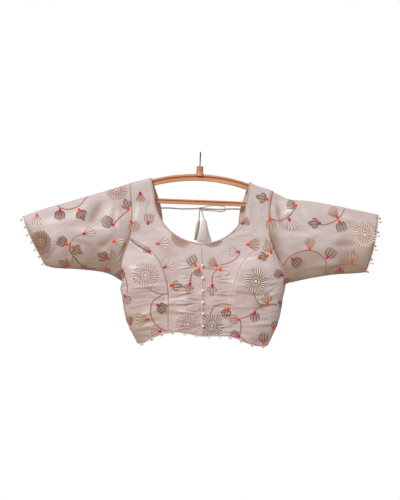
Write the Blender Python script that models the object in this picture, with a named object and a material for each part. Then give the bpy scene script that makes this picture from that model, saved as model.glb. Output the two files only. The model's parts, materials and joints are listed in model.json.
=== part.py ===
"""A choli blouse hanging on a moulded clothes hanger.

The blouse is one net of points, worked out from rails (hem, princess seam, side, armhole, neck)
and a depth in front of and behind the hanger's plane. Each cut piece takes its own faces of the
net and becomes a wall of cloth, parted from its neighbours at the seams.

X runs along the hanger, +Z is up, and the front of the blouse looks along -Y. The origin is
the inside of the hook's top, where a rail holds it. Sizes are in millimetres.
"""

import math

import bmesh
import bpy
from mathutils import Matrix, Vector

MM = 0.001

# Cloth
WALL = 1.5
SEAM_GAP = 0.3

# Rows of the net, counted up from the hem
HEM_ROWS = 7
UNDERARM_ROW = 11
TIP_ROW = 18
SHOULDER_ROW = 28
FRONT_NECK_ROW = 13
BACK_NECK_ROW = 11

# Columns of the net
PLACKET_LINES = (12.5, 25.0)
COLUMNS = 7
SIDE_COLUMNS = 6

# Heights and half widths of the cut, before the hanger tilts it
HEM_MIDDLE = -455.0
HEM_CORNER = -481.0
BACK_HEM_RISE = 3.0
UNDERARM = {-1: (200.0, -324.5), 1: (208.0, -324.5)}
SHOULDER_NECK = (125.5, -67.2)
SHOULDER_ARM = {-1: (176.0, -81.5), 1: (176.0, -85.5)}
TIP = (176.5, -220.0)
FRONT_NECK = {"across": 117.5, "down": 118.7, "centre": -110.0, "join": 0.44}
BACK_NECK = {"across": 98.5, "down": 115.0, "centre": -162.0, "join": 0.48}
TIE_CORNER = (102.0, -136.0)

HEM_LINE = (  # along the hanger, height of the hung hem
    (-160.0, -476.0),
    (-136.0, -472.5),
    (-119.0, -462.5),
    (-94.0, -453.0),
    (-60.0, -450.5),
    (0.0, -455.0),
    (54.0, -458.5),
    (89.0, -464.0),
    (104.0, -471.0),
    (124.0, -478.0),
    (144.0, -481.5),
    (168.0, -481.0),
)
HALF_WIDTHS = (  # height, half width
    (-481.0, 163.0),
    (-457.0, 175.0),
    (-427.0, 188.0),
    (-397.0, 196.0),
    (-367.0, 200.0),
    (-337.0, 207.0),
    (-327.0, 209.5),
    (-300.0, 219.0),
    (-270.0, 231.0),
    (-220.0, 243.0),
    (-150.0, 256.0),
    (-68.0, 262.0),
)
ARMHOLE = (  # half width, height, between the underarm and the shoulder
    (203.0, -297.0),
    (195.5, -262.0),
    (181.0, -232.0),
    TIP,
    (170.5, -190.0),
    (170.5, -140.0),
)
PRINCESS = (  # half width, height, from the hem up
    (77.0, -460.5),
    (78.0, -400.0),
    (80.0, -345.0),
    (90.0, -300.0),
    (110.0, -261.0),
    (143.0, -236.0),
    TIP,
)
OVERLAP = 8.0  # the fastened front is cut this much wider at the princess seam

# How far the cloth stands out from the hanger's plane
FRONT_DEPTHS = (  # height, depth at the middle
    (-481.0, 29.0),
    (-430.0, 33.0),
    (-370.0, 38.0),
    (-310.0, 36.0),
    (-230.0, 27.0),
    (-170.0, 20.0),
    (-110.0, 15.0),
    (-68.0, 11.0),
)
BACK_DEPTHS = (
    (-481.0, 22.0),
    (-400.0, 25.0),
    (-310.0, 23.0),
    (-230.0, 19.0),
    (-170.0, 15.5),
    (-110.0, 13.0),
    (-68.0, 11.0),
)
SIDE_ROUNDING = 3.0
TOP_RADIUS = 9.5
CUP = {"x": 122.0, "z": -308.0, "across": 56.0, "down": 52.0, "out": 15.0}

# How the hanger and the pull of the hands of gravity shift the cut
TILT = math.radians(2.2)
TILT_FADE = (-420.0, -180.0)
SHOULDER_SAG = {"x": 142.0, "across": 17.0, "down": 3.0, "from": -115.0, "to": -78.0}
HEM_DRIFT = 5.0
DRIFT_FADE = (-180.0, -320.0)

# Sleeves: the top and the bottom of each ring, in the hung place
SLEEVE_LEFT = (  # top x, top z, bottom x, bottom z, front depth, back depth
    (-221.0, -90.0, -229.0, -300.5, 22.0, 17.0),
    (-271.0, -104.0, -276.0, -293.5, 23.0, 17.0),
    (-316.0, -117.5, -313.0, -290.5, 21.0, 16.0),
    (-361.0, -130.0, -346.0, -289.5, 19.0, 15.0),
    (-404.0, -142.5, -371.0, -287.5, 17.0, 14.0),
    (-443.0, -157.5, -386.0, -282.0, 14.5, 12.5),
)
SLEEVE_RIGHT = (
    (221.0, -117.0, 231.0, -323.5, 22.0, 17.0),
    (259.0, -117.0, 266.0, -315.0, 23.0, 17.0),
    (304.0, -124.0, 308.0, -308.0, 21.0, 16.0),
    (349.0, -133.0, 344.0, -303.0, 19.0, 15.0),
    (394.0, -142.5, 379.0, -302.5, 17.0, 14.0),
    (443.0, -153.0, 411.0, -299.0, 14.5, 12.5),
)
CUFF_BOWS = {-1: (4.5, 1.5), 1: (5.5, 0.9)}  # how far out the cuff's edge is bowed, how high up
SLEEVE_FULLNESS = 0.72

FOLDS = (  # side (-1 front, 1 back), from x, from z, to x, to z, out (+ ridge, - trough), half width
    (-1, 218.0, -116.0, 205.0, -165.0, -7.0, 13.0),
    (-1, 240.0, -125.0, 228.0, -180.0, 5.0, 13.0),
    (-1, -176.0, -222.0, -202.0, -262.0, -6.0, 10.0),
    (-1, -222.0, -240.0, -205.0, -264.0, -5.0, 10.0),
    (-1, -212.0, -228.0, -196.0, -250.0, 4.0, 9.0),
    (-1, 182.0, -232.0, 206.0, -285.0, -6.0, 10.0),
    (-1, -184.0, -392.0, -96.0, -362.0, -4.0, 12.0),
    (-1, -172.0, -420.0, -100.0, -388.0, 3.5, 12.0),
    (-1, 186.0, -400.0, 110.0, -378.0, -3.5, 12.0),
    (-1, 178.0, -436.0, 112.0, -410.0, 3.0, 12.0),
    (-1, -372.0, -148.0, -248.0, -214.0, -5.0, 20.0),
    (-1, -420.0, -196.0, -290.0, -236.0, 4.0, 20.0),
    (-1, 250.0, -200.0, 372.0, -192.0, -4.5, 20.0),
    (-1, 262.0, -246.0, 384.0, -238.0, 4.0, 20.0),
    (1, -210.0, -232.0, -180.0, -300.0, -5.0, 12.0),
    (1, 212.0, -236.0, 182.0, -304.0, -5.0, 12.0),
    (1, -150.0, -395.0, -40.0, -372.0, -3.5, 14.0),
    (1, 150.0, -392.0, 36.0, -366.0, -3.5, 14.0),
    (1, -390.0, -170.0, -260.0, -226.0, -4.5, 20.0),
    (1, 262.0, -222.0, 386.0, -214.0, -4.5, 20.0),
)

# Trims
PLACKET_WALL = 1.0
PIPING_RADIUS = 1.3
EDGING_STRIP = (0.45, 2.3)
EDGING_HALF = 0.7
HEM_BEADS = (24, 0.5)  # how many, where the first one lies as a share of the step
CUFF_BEADS = {-1: (7, 0.25), 1: (9, 0.88)}
HEM_BEAD_STEPS = (  # further out, size
    (0.9, 0.8),
    (1.3, 1.8),
    (1.6, 1.2),
    (0.8, 0.4),
)
CUFF_BEAD_STEPS = (
    (3.4, 0.8),
    (1.3, 1.8),
    (2.0, 1.3),
    (0.9, 0.4),
)
BEAD_ROOT = 1.5
BUTTON_RADIUS = 2.6
BUTTON_HEIGHTS = (-280.0, -311.0, -342.0, -371.0, -399.0, -430.0)

# Back tie
TIE_RADIUS = 1.75
KNOT = Vector((0.5, 21.0, -138.5))
KNOT_SIZE = Vector((5.2, 4.4, 4.6))
TIE_HEIGHTS = {-1: -135.0, 1: -138.0}
BOW_LENGTH = 63.0
BOW_HEIGHT = 15.0
TASSEL_ROWS = (  # depth below the top, half width, half thickness
    (0.0, 3.6, 3.0),
    (3.0, 6.0, 4.4),
    (16.0, 8.4, 5.6),
    (30.0, 11.6, 6.0),
    (43.0, 15.0, 4.8),
    (52.0, 18.4, 3.0),
    (55.5, 18.6, 1.6),
)
TASSEL_SAG = 3.0
TASSEL_TOPS = (  # name, x, y, z, turn about Z, size, lean to the side
    ("front", 9.2, 17.0, -166.0, 4.0, 1.0, 0.0),
    ("rear", -4.0, 37.0, -168.0, 80.0, 0.86, -0.15),
)

# Hanger
ARCH_TOP = -52.9
ARCH_DROP = 800.0
ARCH_HALF = 208.0
ARCH_HEIGHT = 17.0
ARCH_THICK = 9.0
BAR_HEIGHT = 12.5
BAR_THICK = 7.5
BAR_Z = -123.5
BAR_HALF = 208.0
END_RADIUS = 10.2
END_THICK = 10.0
GROOVE_DEEP = 1.3
SOCKET_TOP = -33.0
SOCKET_RADII = (11.0, 8.6)
WIRE_RADIUS = 1.75
HOOK_INSIDE = 16.0
HOOK_STEM_END = -50.0
SOCKET_BORE = 2.1


def blend(low, high, at):
    """0 before low, 1 after high, and smooth between them."""
    share = min(1.0, max(0.0, (at - low) / (high - low)))
    return share * share * (3.0 - 2.0 * share)


def table_value(rows, at):
    """Reads a smooth curve through rows of (place, value), held level past its ends."""
    if at <= rows[0][0]:
        return rows[0][1]
    if at >= rows[-1][0]:
        return rows[-1][1]
    i = max(k for k, row in enumerate(rows[:-1]) if row[0] <= at)

    def slope(k):
        before, after = rows[max(k - 1, 0)], rows[min(k + 1, len(rows) - 1)]
        return (after[1] - before[1]) / (after[0] - before[0])

    span = rows[i + 1][0] - rows[i][0]
    t = (at - rows[i][0]) / span
    hump = t * t * (3.0 - 2.0 * t)
    leave = (t * t * t - 2.0 * t * t + t) * span * slope(i)
    arrive = (t * t * t - t * t) * span * slope(i + 1)
    return rows[i][1] * (1.0 - hump) + rows[i + 1][1] * hump + leave + arrive


def smooth_path(points, steps=10):
    """A Catmull-Rom curve through points, as a denser list of points."""
    ends = [points[0] * 2 - points[1], *points, points[-1] * 2 - points[-2]]
    path = []
    for a, b, c, d in zip(ends, ends[1:], ends[2:], ends[3:]):
        for step in range(steps):
            t = step / steps
            path.append(
                0.5
                * (
                    b * 2
                    + (c - a) * t
                    + (a * 2 - b * 5 + c * 4 - d) * t * t
                    + (b * 3 - a - c * 3 + d) * t * t * t
                )
            )
    path.append(points[-1].copy())
    return path


def along(path, share):
    """The point at that share of a path's length."""
    lengths = [(b - a).length for a, b in zip(path, path[1:])]
    left = share * sum(lengths)
    for (a, b), length in zip(zip(path, path[1:]), lengths):
        if left <= length:
            return a.lerp(b, left / length if length else 0.0)
        left -= length
    return path[-1].copy()


def ellipse_quarter(neck, steps=24):
    """The round of a neck, from its lowest point out to where its side rises."""
    points = []
    for step in range(steps + 1):
        turn = math.pi / 2 * step / steps
        x = neck["across"] * math.sin(turn)
        z = neck["centre"] - neck["down"] * math.cos(turn)
        points.append(Vector((x, z)))
    return points


def hem_lift(side, x):
    """How far the hung hem lies above a straight one, with a little more behind, where the front hides it."""
    share = min(1.0, abs(x) / HALF_WIDTHS[0][1])
    straight = HEM_MIDDLE + (HEM_CORNER - HEM_MIDDLE) * share
    rise = BACK_HEM_RISE * (1.0 - share * share) if side > 0 else 0.0
    return table_value(HEM_LINE, x + HEM_DRIFT) + rise - straight


def upper_shares(rows):
    """Shares of the way from the tip's row to the shoulder, closer together near the shoulder."""
    return [1.0 - (1.0 - step / rows) ** 1.8 for step in range(1, rows + 1)]


def rail(lower, lower_rows, middle, upper):
    """One rail's points for every row: the lower path, the middle one up to the tip's row, and the upper one."""
    points = [along(lower, row / lower_rows) for row in range(lower_rows)]
    middle_rows = TIP_ROW - lower_rows
    points += [along(middle, row / middle_rows) for row in range(middle_rows + 1)]
    points += [along(upper, share) for share in upper_shares(SHOULDER_ROW - TIP_ROW)]
    return points


def split(path, share):
    """Two paths, the first of them that share of the whole length."""
    steps = 24
    first = [along(path, share * step / steps) for step in range(steps + 1)]
    second = [along(path, share + (1 - share) * step / steps) for step in range(steps + 1)]
    return first, second


def rails(hand):
    """The rails of one half in the cut's own plane, as if its x were above 0."""
    side = [Vector((table_value(HALF_WIDTHS, z), z)) for z in range(-481, -336, 8)]
    side.append(Vector(UNDERARM[hand]))
    shoulder_neck, shoulder_arm = Vector(SHOULDER_NECK), Vector(SHOULDER_ARM[hand])
    armhole = smooth_path([side[-1], *(Vector(p) for p in ARMHOLE), shoulder_arm])
    tip_at = min(range(len(armhole)), key=lambda i: (armhole[i] - Vector(TIP)).length)
    outer = rail(side, UNDERARM_ROW, armhole[: tip_at + 1], armhole[tip_at:])
    front_low, front_high = split(ellipse_quarter(FRONT_NECK) + [shoulder_neck], FRONT_NECK["join"])
    hem_middle = Vector((0.0, HEM_MIDDLE))
    front = rail([hem_middle, front_low[0]], FRONT_NECK_ROW, front_low, front_high)
    back_low, back_high = split(
        ellipse_quarter(BACK_NECK) + [Vector(TIE_CORNER), shoulder_neck], BACK_NECK["join"]
    )
    back = rail([hem_middle, back_low[0]], BACK_NECK_ROW, back_low, back_high)
    seam_path = smooth_path([Vector(p) for p in PRINCESS])
    seam = [along(seam_path, row / TIP_ROW) for row in range(TIP_ROW + 1)]
    return {"outer": outer, "front": front, "back": back, "seam": seam}


def cup_bulge(x, z):
    """How far the cup stands out."""
    across = (abs(x) - CUP["x"]) / CUP["across"]
    down = (z - CUP["z"]) / CUP["down"]
    return CUP["out"] * math.exp(-across * across - down * down)


def depth(side, x, z):
    """How far the cloth stands from the hanger's plane: side is -1 in front and 1 behind."""
    width = table_value(HALF_WIDTHS, z)
    share = min(1.0, abs(x) / width)
    rounding = math.sqrt(1.0 - share**SIDE_ROUNDING)
    middle = table_value(FRONT_DEPTHS if side < 0 else BACK_DEPTHS, z)
    bulge = cup_bulge(x, z) if side < 0 else 0.0
    arm = SHOULDER_ARM[-1 if x < 0 else 1]
    slope = (arm[1] - SHOULDER_NECK[1]) / (arm[0] - SHOULDER_NECK[0])
    top = SHOULDER_NECK[1] + slope * (abs(x) - SHOULDER_NECK[0])
    under = min(1.0, max(0.0, (top - z) / TOP_RADIUS))
    top_rounding = math.sqrt(max(0.0, 1.0 - (1.0 - under) ** 2))
    return (middle * rounding + bulge * rounding) * top_rounding


def hang(x, z):
    """A point of the cut moved as the tilted hanger and the cloth's own weight move it."""
    tilt = blend(*TILT_FADE, z)
    drift = 1.0 - blend(DRIFT_FADE[1], DRIFT_FADE[0], z)
    away = (x - SHOULDER_SAG["x"]) / SHOULDER_SAG["across"]
    near = blend(SHOULDER_SAG["from"], SHOULDER_SAG["to"], z)
    sag = SHOULDER_SAG["down"] * math.exp(-away * away) * near
    return x + HEM_DRIFT * drift, z - x * math.tan(TILT) * tilt - sag


def fold_height(side, x, z):
    """The largest folds' rise at a place, from the table."""
    rise = 0.0
    for fold_side, x0, z0, x1, z1, out, half in FOLDS:
        if fold_side != side:
            continue
        start, run = Vector((x0, z0)), Vector((x1 - x0, z1 - z0))
        here = Vector((x, z)) - start
        at = min(1.0, max(0.0, here.dot(run) / run.length_squared))
        away = (here - run * at).length / half
        if away < 2.5:
            rise += out * math.exp(-away * away) * (0.35 + 0.65 * math.sin(math.pi * at))
    return rise


def hung_point(side, x, z, on_seam=False, near_hem=0.0):
    """The place in space of a point of the cut, in front of or behind the hanger."""
    out = 0.0 if on_seam else depth(side, x, z)
    hung_x, hung_z = hang(x, z)
    hung_z += (hem_lift(side, x) + x * math.tan(TILT) * blend(*TILT_FADE, z)) * near_hem
    steady = blend(3.0, 12.0, out)
    out += fold_height(side, hung_x, hung_z) * steady
    return Vector((hung_x, side * out, hung_z))


def centre_shares(length):
    """The places of the front's columns as shares of a row: the placket's lines, then even steps."""
    shares = [0.0, *(line / length for line in PLACKET_LINES)]
    spare = COLUMNS - len(PLACKET_LINES)
    return shares + [
        shares[-1] + (1.0 - shares[-1]) * step / spare for step in range(1, spare + 1)
    ]


def back_shares(row):
    """The places of the back's columns, close together at the side, and the front's at the shoulder."""
    shoulder = centre_shares(SHOULDER_ARM[1][0] - SHOULDER_NECK[0])
    rise = blend(TIP_ROW - 4, SHOULDER_ROW, row)
    shares = []
    for step in range(COLUMNS + 1):
        low = (step / COLUMNS) ** 1.6
        shares.append(low + (1.0 - shoulder[COLUMNS - step] - low) * rise)
    return shares


def body_row(lines, hand, row):
    """The points of one row of one half: front centre, side front and back. hand is -1 or 1 along X."""
    outer, front, back = lines["outer"][row], lines["front"][row], lines["back"][row]
    has_side = row <= TIP_ROW
    seam = lines["seam"][row].copy() if has_side else outer
    if row < TIP_ROW:
        seam.x -= hand * OVERLAP * (1.0 - row / TIP_ROW)

    near_hem = 1.0 - blend(0, HEM_ROWS, row)

    def place(side, start, end, share):
        flat = start.lerp(end, share)
        at_side = row <= UNDERARM_ROW and outer.x - flat.x < 1e-4
        on_seam = at_side or row == SHOULDER_ROW
        return hung_point(side, hand * flat.x, flat.y, on_seam, near_hem)

    shares = centre_shares(seam.x - front.x)
    centre = [place(-1, front, seam, share) for share in shares]
    edge_shares = [1.0 - (1.0 - step / SIDE_COLUMNS) ** 1.7 for step in range(SIDE_COLUMNS + 1)]
    cup = [place(-1, seam, outer, share) for share in edge_shares] if has_side else []
    behind = [place(1, outer, back, share) for share in back_shares(row)]
    return centre, cup, behind


def sleeve_rings(lines, hand, table):
    """The sleeve's rings from the armhole to the cuff, each up the front and down the back."""
    rows = range(UNDERARM_ROW, SHOULDER_ROW + 1)
    outer = [(lines["outer"][row], row in (UNDERARM_ROW, SHOULDER_ROW)) for row in rows]
    front = [hung_point(-1, hand * p.x, p.y, on_seam) for p, on_seam in outer]
    back = [hung_point(1, hand * p.x, p.y, on_seam) for p, on_seam in outer]
    last = len(outer) - 1
    rings = [front + back[-2:0:-1]]
    for station, (top_x, top_z, low_x, low_z, deep_front, deep_back) in enumerate(table):
        top, low = Vector((top_x, top_z)), Vector((low_x, low_z))
        cuff = station == len(table) - 1
        ring = []
        for step in range(2 * last):
            turn = math.pi * step / last
            side = -1 if step <= last else 1
            share = (1.0 - math.cos(turn)) / 2.0
            flat = low.lerp(top, share)
            round_out = abs(math.sin(turn)) ** SLEEVE_FULLNESS
            if cuff:
                bow, high_up = CUFF_BOWS[hand]
                flat.x += hand * bow * 4.0 * share**high_up * (1.0 - share)
            out = (deep_front if side < 0 else deep_back) * round_out
            out += fold_height(side, flat.x, flat.y) * round_out
            ring.append(Vector((flat.x, side * out, flat.y)))
        rings.append(ring)
    halfway = [near.lerp(far, 0.5) for near, far in zip(rings[0], rings[1])]
    rings.insert(1, halfway)
    return rings


class Net:
    """All the cloth's points and faces, each face under the name of its cut piece."""

    def __init__(self):
        self.points = []
        self.places = {}
        self.pieces = {}

    def point(self, place):
        key = tuple(round(value, 2) for value in place)
        if key not in self.places:
            self.places[key] = len(self.points)
            self.points.append(place)
        return self.places[key]

    def patch(self, piece, grid, flip):
        """Adds the faces between the rows of a grid of places."""
        numbered = [[self.point(place) for place in row] for row in grid]
        faces = self.pieces.setdefault(piece, [])
        for low, high in zip(numbered, numbered[1:]):
            for corner in range(len(low) - 1):
                face = [low[corner], low[corner + 1], high[corner + 1], high[corner]]
                face = [v for i, v in enumerate(face) if v != face[i - 1]]
                for triangle in self.halves(face):
                    faces.append(triangle[::-1] if flip else triangle)
        return numbered

    def halves(self, face):
        """A four-sided face as two triangles, split along its shorter diagonal."""
        if len(face) < 4:
            return [face] if len(face) == 3 else []
        a, b, c, d = face
        places = self.points
        if (places[a] - places[c]).length <= (places[b] - places[d]).length:
            return [[a, b, c], [a, c, d]]
        return [[a, b, d], [b, c, d]]

    def normals(self):
        """The smooth outward normal at each point, shared by the pieces that meet there."""
        total = [Vector() for _ in self.points]
        for faces in self.pieces.values():
            for face in faces:
                corners = [self.points[v] for v in face]
                middle = sum(corners, Vector()) / len(corners)
                for a, b in zip(face, face[1:] + face[:1]):
                    area = (self.points[a] - middle).cross(self.points[b] - middle)
                    total[a] += area
                    total[b] += area
        return [normal.normalized() for normal in total]


def edge_offsets(points, normals, faces):
    """For each point on a piece's edge, the way into the piece that keeps it one unit from both its edges."""
    used = {}
    for face in faces:
        for a, b in zip(face, face[1:] + face[:1]):
            used[(a, b)] = True
    edges = [(a, b) for a, b in used if (b, a) not in used]
    inward = {}
    for a, b in edges:
        for v in (a, b):
            way = normals[v].cross(points[b] - points[a]).normalized()
            inward.setdefault(v, []).append(way)
    offsets = {}
    for v, ways in inward.items():
        total = sum(ways, Vector())
        half_cosine = max(0.4, total.length / len(ways))
        offsets[v] = total.normalized() / half_cosine
    return edges, offsets


def make_material(name, colour, roughness, metallic=0.0):
    material = bpy.data.materials.new(name)
    material.use_nodes = True
    shader = material.node_tree.nodes["Principled BSDF"]
    shader.inputs["Base Color"].default_value = (*colour, 1.0)
    shader.inputs["Roughness"].default_value = roughness
    shader.inputs["Metallic"].default_value = metallic
    return material


def add_object(name, points, faces, material, smooth_angle=40.0):
    """A named mesh object from points in millimetres."""
    mesh = bpy.data.meshes.new(name)
    mesh.from_pydata([point * MM for point in points], [], faces)
    mesh.materials.append(material)
    mesh.shade_smooth()
    mesh.set_sharp_from_angle(angle=math.radians(smooth_angle))
    made = bpy.data.objects.new(name, mesh)
    bpy.context.scene.collection.objects.link(made)
    return made


def wall_object(name, points, normals, faces, material, out=0.0, wall=WALL):
    """A wall of cloth on faces: its outer side lies out above the points, its inner side a wall below."""
    edges, offsets = edge_offsets(points, normals, faces)
    used = sorted({v for face in faces for v in face})
    index = {v: i for i, v in enumerate(used)}
    made = []
    for lift in (out, out - wall):
        for v in used:
            inset = offsets.get(v, Vector()) * SEAM_GAP / 2
            made.append(points[v] + normals[v] * lift + inset)
    count = len(used)
    shell = [[index[v] for v in face] for face in faces]
    shell += [[index[v] + count for v in reversed(face)] for face in faces]
    for a, b in edges:
        near, far = sorted((a, b))
        corner = index[far] + count
        rim = [[index[near], index[near] + count, corner], [index[near], corner, index[far]]]
        shell += rim if near == a else [triangle[::-1] for triangle in rim]
    return add_object(name, made, shell, material)


def cloth_net():
    """The whole blouse as a net, with the numbers of the points on each rail."""
    net = Net()
    marks = {}
    for hand, side_name in ((-1, "right"), (1, "left")):
        lines = rails(hand)
        rows = [body_row(lines, hand, row) for row in range(SHOULDER_ROW + 1)]
        flip = hand < 0
        centre = net.patch("front_" + side_name, [row[0] for row in rows], flip)
        cups = [row[1] for row in rows if row[1]]
        cup = net.patch("side_front_" + side_name, cups, flip)
        behind = net.patch("back", [row[2] for row in rows], flip)
        table = SLEEVE_LEFT if hand < 0 else SLEEVE_RIGHT
        rings = sleeve_rings(lines, hand, table)
        closed = [ring + ring[:1] for ring in rings]
        sleeve = net.patch("sleeve_" + side_name, closed, hand > 0)
        marks[hand] = {"centre": centre, "cup": cup, "behind": behind, "cuff": sleeve[-1]}
    return net, marks


def neck_loop(marks):
    """The numbers of the neck's points, from one front edge round the back to the other."""
    halves = []
    for hand in (-1, 1):
        front = [row[0] for row in marks[hand]["centre"][FRONT_NECK_ROW:]]
        back = [row[-1] for row in marks[hand]["behind"][BACK_NECK_ROW:]]
        halves.append(front + back[-2::-1])
    return halves[0] + halves[1][-2::-1]


def hem_loop(marks):
    """The numbers of the hem's points, from one front edge round the back to the other."""
    halves = []
    for hand in (-1, 1):
        centre, cup = marks[hand]["centre"][0], marks[hand]["cup"][0]
        halves.append(centre + cup[1:] + marks[hand]["behind"][0][1:])
    return halves[0] + halves[1][-2::-1]


def edge_frames(net, normals, loop):
    """Along a free edge: the wall's middle, the way out past the edge, and the wall's own normal."""
    edge_ways = {}
    for faces in net.pieces.values():
        _, offsets = edge_offsets(net.points, normals, faces)
        for v, offset in offsets.items():
            edge_ways.setdefault(v, []).append(offset.normalized())
    frames = []
    for i, v in enumerate(loop):
        before, after = net.points[loop[i - 1]], net.points[loop[(i + 1) % len(loop)]]
        if i == 0:
            before = net.points[v]
        if i == len(loop) - 1:
            after = net.points[v]
        run = (after - before).normalized()
        way = -sum(edge_ways[v], Vector())
        normal = normals[v]
        out = (way - run * way.dot(run) - normal * way.dot(normal)).normalized()
        frames.append((net.points[v] - normal * WALL / 2, out, normal))
    return frames


def make_piping(name, frames, material):
    """A round cord of cloth sewn along an edge, just past its rim."""
    reach = PIPING_RADIUS + SEAM_GAP
    path = [place + out * reach for place, out, _ in frames]
    path[0] = path[0].lerp(path[1], SEAM_GAP / (path[1] - path[0]).length)
    path[-1] = path[-1].lerp(path[-2], SEAM_GAP / (path[-2] - path[-1]).length)
    return make_cord(name, path, PIPING_RADIUS, material)


def make_cord(name, path, radius, material):
    """A tube along a path, in millimetres."""
    data = bpy.data.curves.new(name, "CURVE")
    data.dimensions = "3D"
    data.bevel_depth = radius * MM
    data.bevel_resolution = 2
    data.use_fill_caps = True
    spline = data.splines.new("POLY")
    spline.points.add(len(path) - 1)
    for knot, place in zip(spline.points, path):
        knot.co = (*(place * MM), 1.0)
    data.materials.append(material)
    made = bpy.data.objects.new(name, data)
    bpy.context.scene.collection.objects.link(made)
    return made


def link_bmesh(name, mesh, material, smooth_angle=40.0):
    """A named object from a bmesh drawn in millimetres."""
    bmesh.ops.scale(mesh, vec=(MM, MM, MM), verts=mesh.verts)
    data = bpy.data.meshes.new(name)
    mesh.to_mesh(data)
    mesh.free()
    data.materials.append(material)
    data.shade_smooth()
    data.set_sharp_from_angle(angle=math.radians(smooth_angle))
    made = bpy.data.objects.new(name, data)
    bpy.context.scene.collection.objects.link(made)
    return made


def frame_at(frames, lengths, at):
    """The edge's frame at a distance along it."""
    i = 0
    while i < len(lengths) - 2 and lengths[i + 1] < at:
        i += 1
    share = (at - lengths[i]) / (lengths[i + 1] - lengths[i])
    place, out, normal = (a.lerp(b, share) for a, b in zip(frames[i], frames[i + 1]))
    return place, out.normalized(), normal.normalized()


def make_edging(name, frames, beads, bead_steps, material, closed):
    """A narrow strip past a cloth edge, with a row of beads drawn out of its outer face."""
    if closed:
        frames = frames + frames[:1]
    lengths = [0.0]
    for (a, _, _), (b, _, _) in zip(frames, frames[1:]):
        lengths.append(lengths[-1] + (b - a).length)
    total = lengths[-1]
    count, first = beads
    centres = [total * (number + first) / count for number in range(count)]
    roots = [centre - BEAD_ROOT for centre in centres]
    stops = roots + [centre + BEAD_ROOT for centre in centres]
    corners = lengths[:-1] if closed else [SEAM_GAP, *lengths[1:-1], total - SEAM_GAP]
    stops += [at for at in corners if all(abs(at - centre) > 2 * BEAD_ROOT for centre in centres)]
    stops.sort()
    mesh = bmesh.new()
    rings = []
    for at in stops:
        place, out, normal = frame_at(frames, lengths, at)
        near, far = place + out * EDGING_STRIP[0], place + out * EDGING_STRIP[1]
        lift = normal * EDGING_HALF
        rings.append([mesh.verts.new(c) for c in (near + lift, far + lift, far - lift, near - lift)])
    pairs = list(zip(range(len(rings)), range(1, len(rings))))
    if closed:
        pairs.append((len(rings) - 1, 0))
    else:
        mesh.faces.new(rings[0])
        mesh.faces.new(rings[-1][::-1])
    bead_faces = []
    for i, j in pairs:
        for corner in range(4):
            after = (corner + 1) % 4
            face = mesh.faces.new([rings[i][corner], rings[j][corner], rings[j][after], rings[i][after]])
            if corner == 1 and stops[i] in roots:
                bead_faces.append(face)
    bmesh.ops.recalc_face_normals(mesh, faces=mesh.faces)
    for face in bead_faces:
        draw_out_bead(mesh, face, bead_steps)
    return link_bmesh(name, mesh, material, 50.0)


def draw_out_bead(mesh, face, bead_steps):
    """Draws a stalk and a round bead out of one face of the strip."""
    way = face.normal.copy()
    across = (face.verts[1].co - face.verts[0].co).normalized()
    other = way.cross(across)
    for reach, size in bead_steps:
        face = bmesh.ops.extrude_discrete_faces(mesh, faces=[face])["faces"][0]
        centre = face.calc_center_median()
        for vert in face.verts:
            arm = vert.co - centre
            spread = across * math.copysign(size, arm.dot(across))
            spread += other * math.copysign(size, arm.dot(other))
            vert.co = centre + way * reach + spread


def make_ball(name, centre, sizes, material, rings=6, segments=8):
    """A rounded solid with its own half sizes."""
    mesh = bmesh.new()
    bmesh.ops.create_uvsphere(mesh, u_segments=segments, v_segments=rings, radius=1.0)
    grow = Matrix.Diagonal((*sizes, 1.0))
    bmesh.ops.transform(mesh, matrix=Matrix.Translation(centre) @ grow, verts=mesh.verts)
    return link_bmesh(name, mesh, material, 180.0)


def ring_solid(name, rings, material, smooth_angle=40.0):
    """A closed solid from rings of points, each ring the same way round, with flat ends."""
    mesh = bmesh.new()
    made = [[mesh.verts.new(place) for place in ring] for ring in rings]
    for low, high in zip(made, made[1:]):
        for k in range(len(low)):
            after = (k + 1) % len(low)
            mesh.faces.new([low[k], low[after], high[after], high[k]])
    mesh.faces.new(made[0][::-1])
    mesh.faces.new(made[-1])
    bmesh.ops.recalc_face_normals(mesh, faces=mesh.faces)
    return link_bmesh(name, mesh, material, smooth_angle)


def make_tassel(name, x, y, z, turn, size, lean, material):
    """A padded bell of cloth, gathered at its top and pressed flat at its lower edge."""
    segments = 16
    spin = Matrix.Rotation(math.radians(turn), 3, "Z")
    rings = []
    for low, half, thick in TASSEL_ROWS:
        ring = []
        for segment in range(segments):
            angle = 2 * math.pi * segment / segments
            sag = TASSEL_SAG * (1.0 - math.cos(angle) ** 2) * (low / TASSEL_ROWS[-1][0]) ** 3
            place = Vector((half * math.cos(angle), thick * math.sin(angle), -low - sag))
            ring.append(Vector((x + lean * low, y, z)) + spin @ place * size)
        rings.append(ring)
    return ring_solid(name, rings, material, 60.0)


def bar_profile(height, thick):
    """A bar's cross-section with rounded edges and a groove along each face, as (y, z) points."""
    half, top = thick / 2, height / 2
    low_edge, high_edge = top * 0.10, top * 0.42
    soft = 1.6
    right = [
        (half - soft, -top),
        (half, -top + soft),
        (half, low_edge),
        (half - GROOVE_DEEP, low_edge + 0.6),
        (half - GROOVE_DEEP, high_edge - 0.6),
        (half, high_edge),
        (half, top - soft),
        (half - soft, top),
    ]
    left = [(-y, z) for y, z in reversed(right)]
    return right + left


def sweep(name, path, profile, material):
    """A closed bar: the profile carried along a path in the XZ plane, with flat ends."""
    rings = []
    for i, place in enumerate(path):
        run = (path[min(i + 1, len(path) - 1)] - path[max(i - 1, 0)]).normalized()
        up = Vector((-run.z, 0.0, run.x))
        rings.append([place + Vector((0.0, y, 0.0)) + up * z for y, z in profile])
    return ring_solid(name, rings, material, 30.0)


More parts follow.
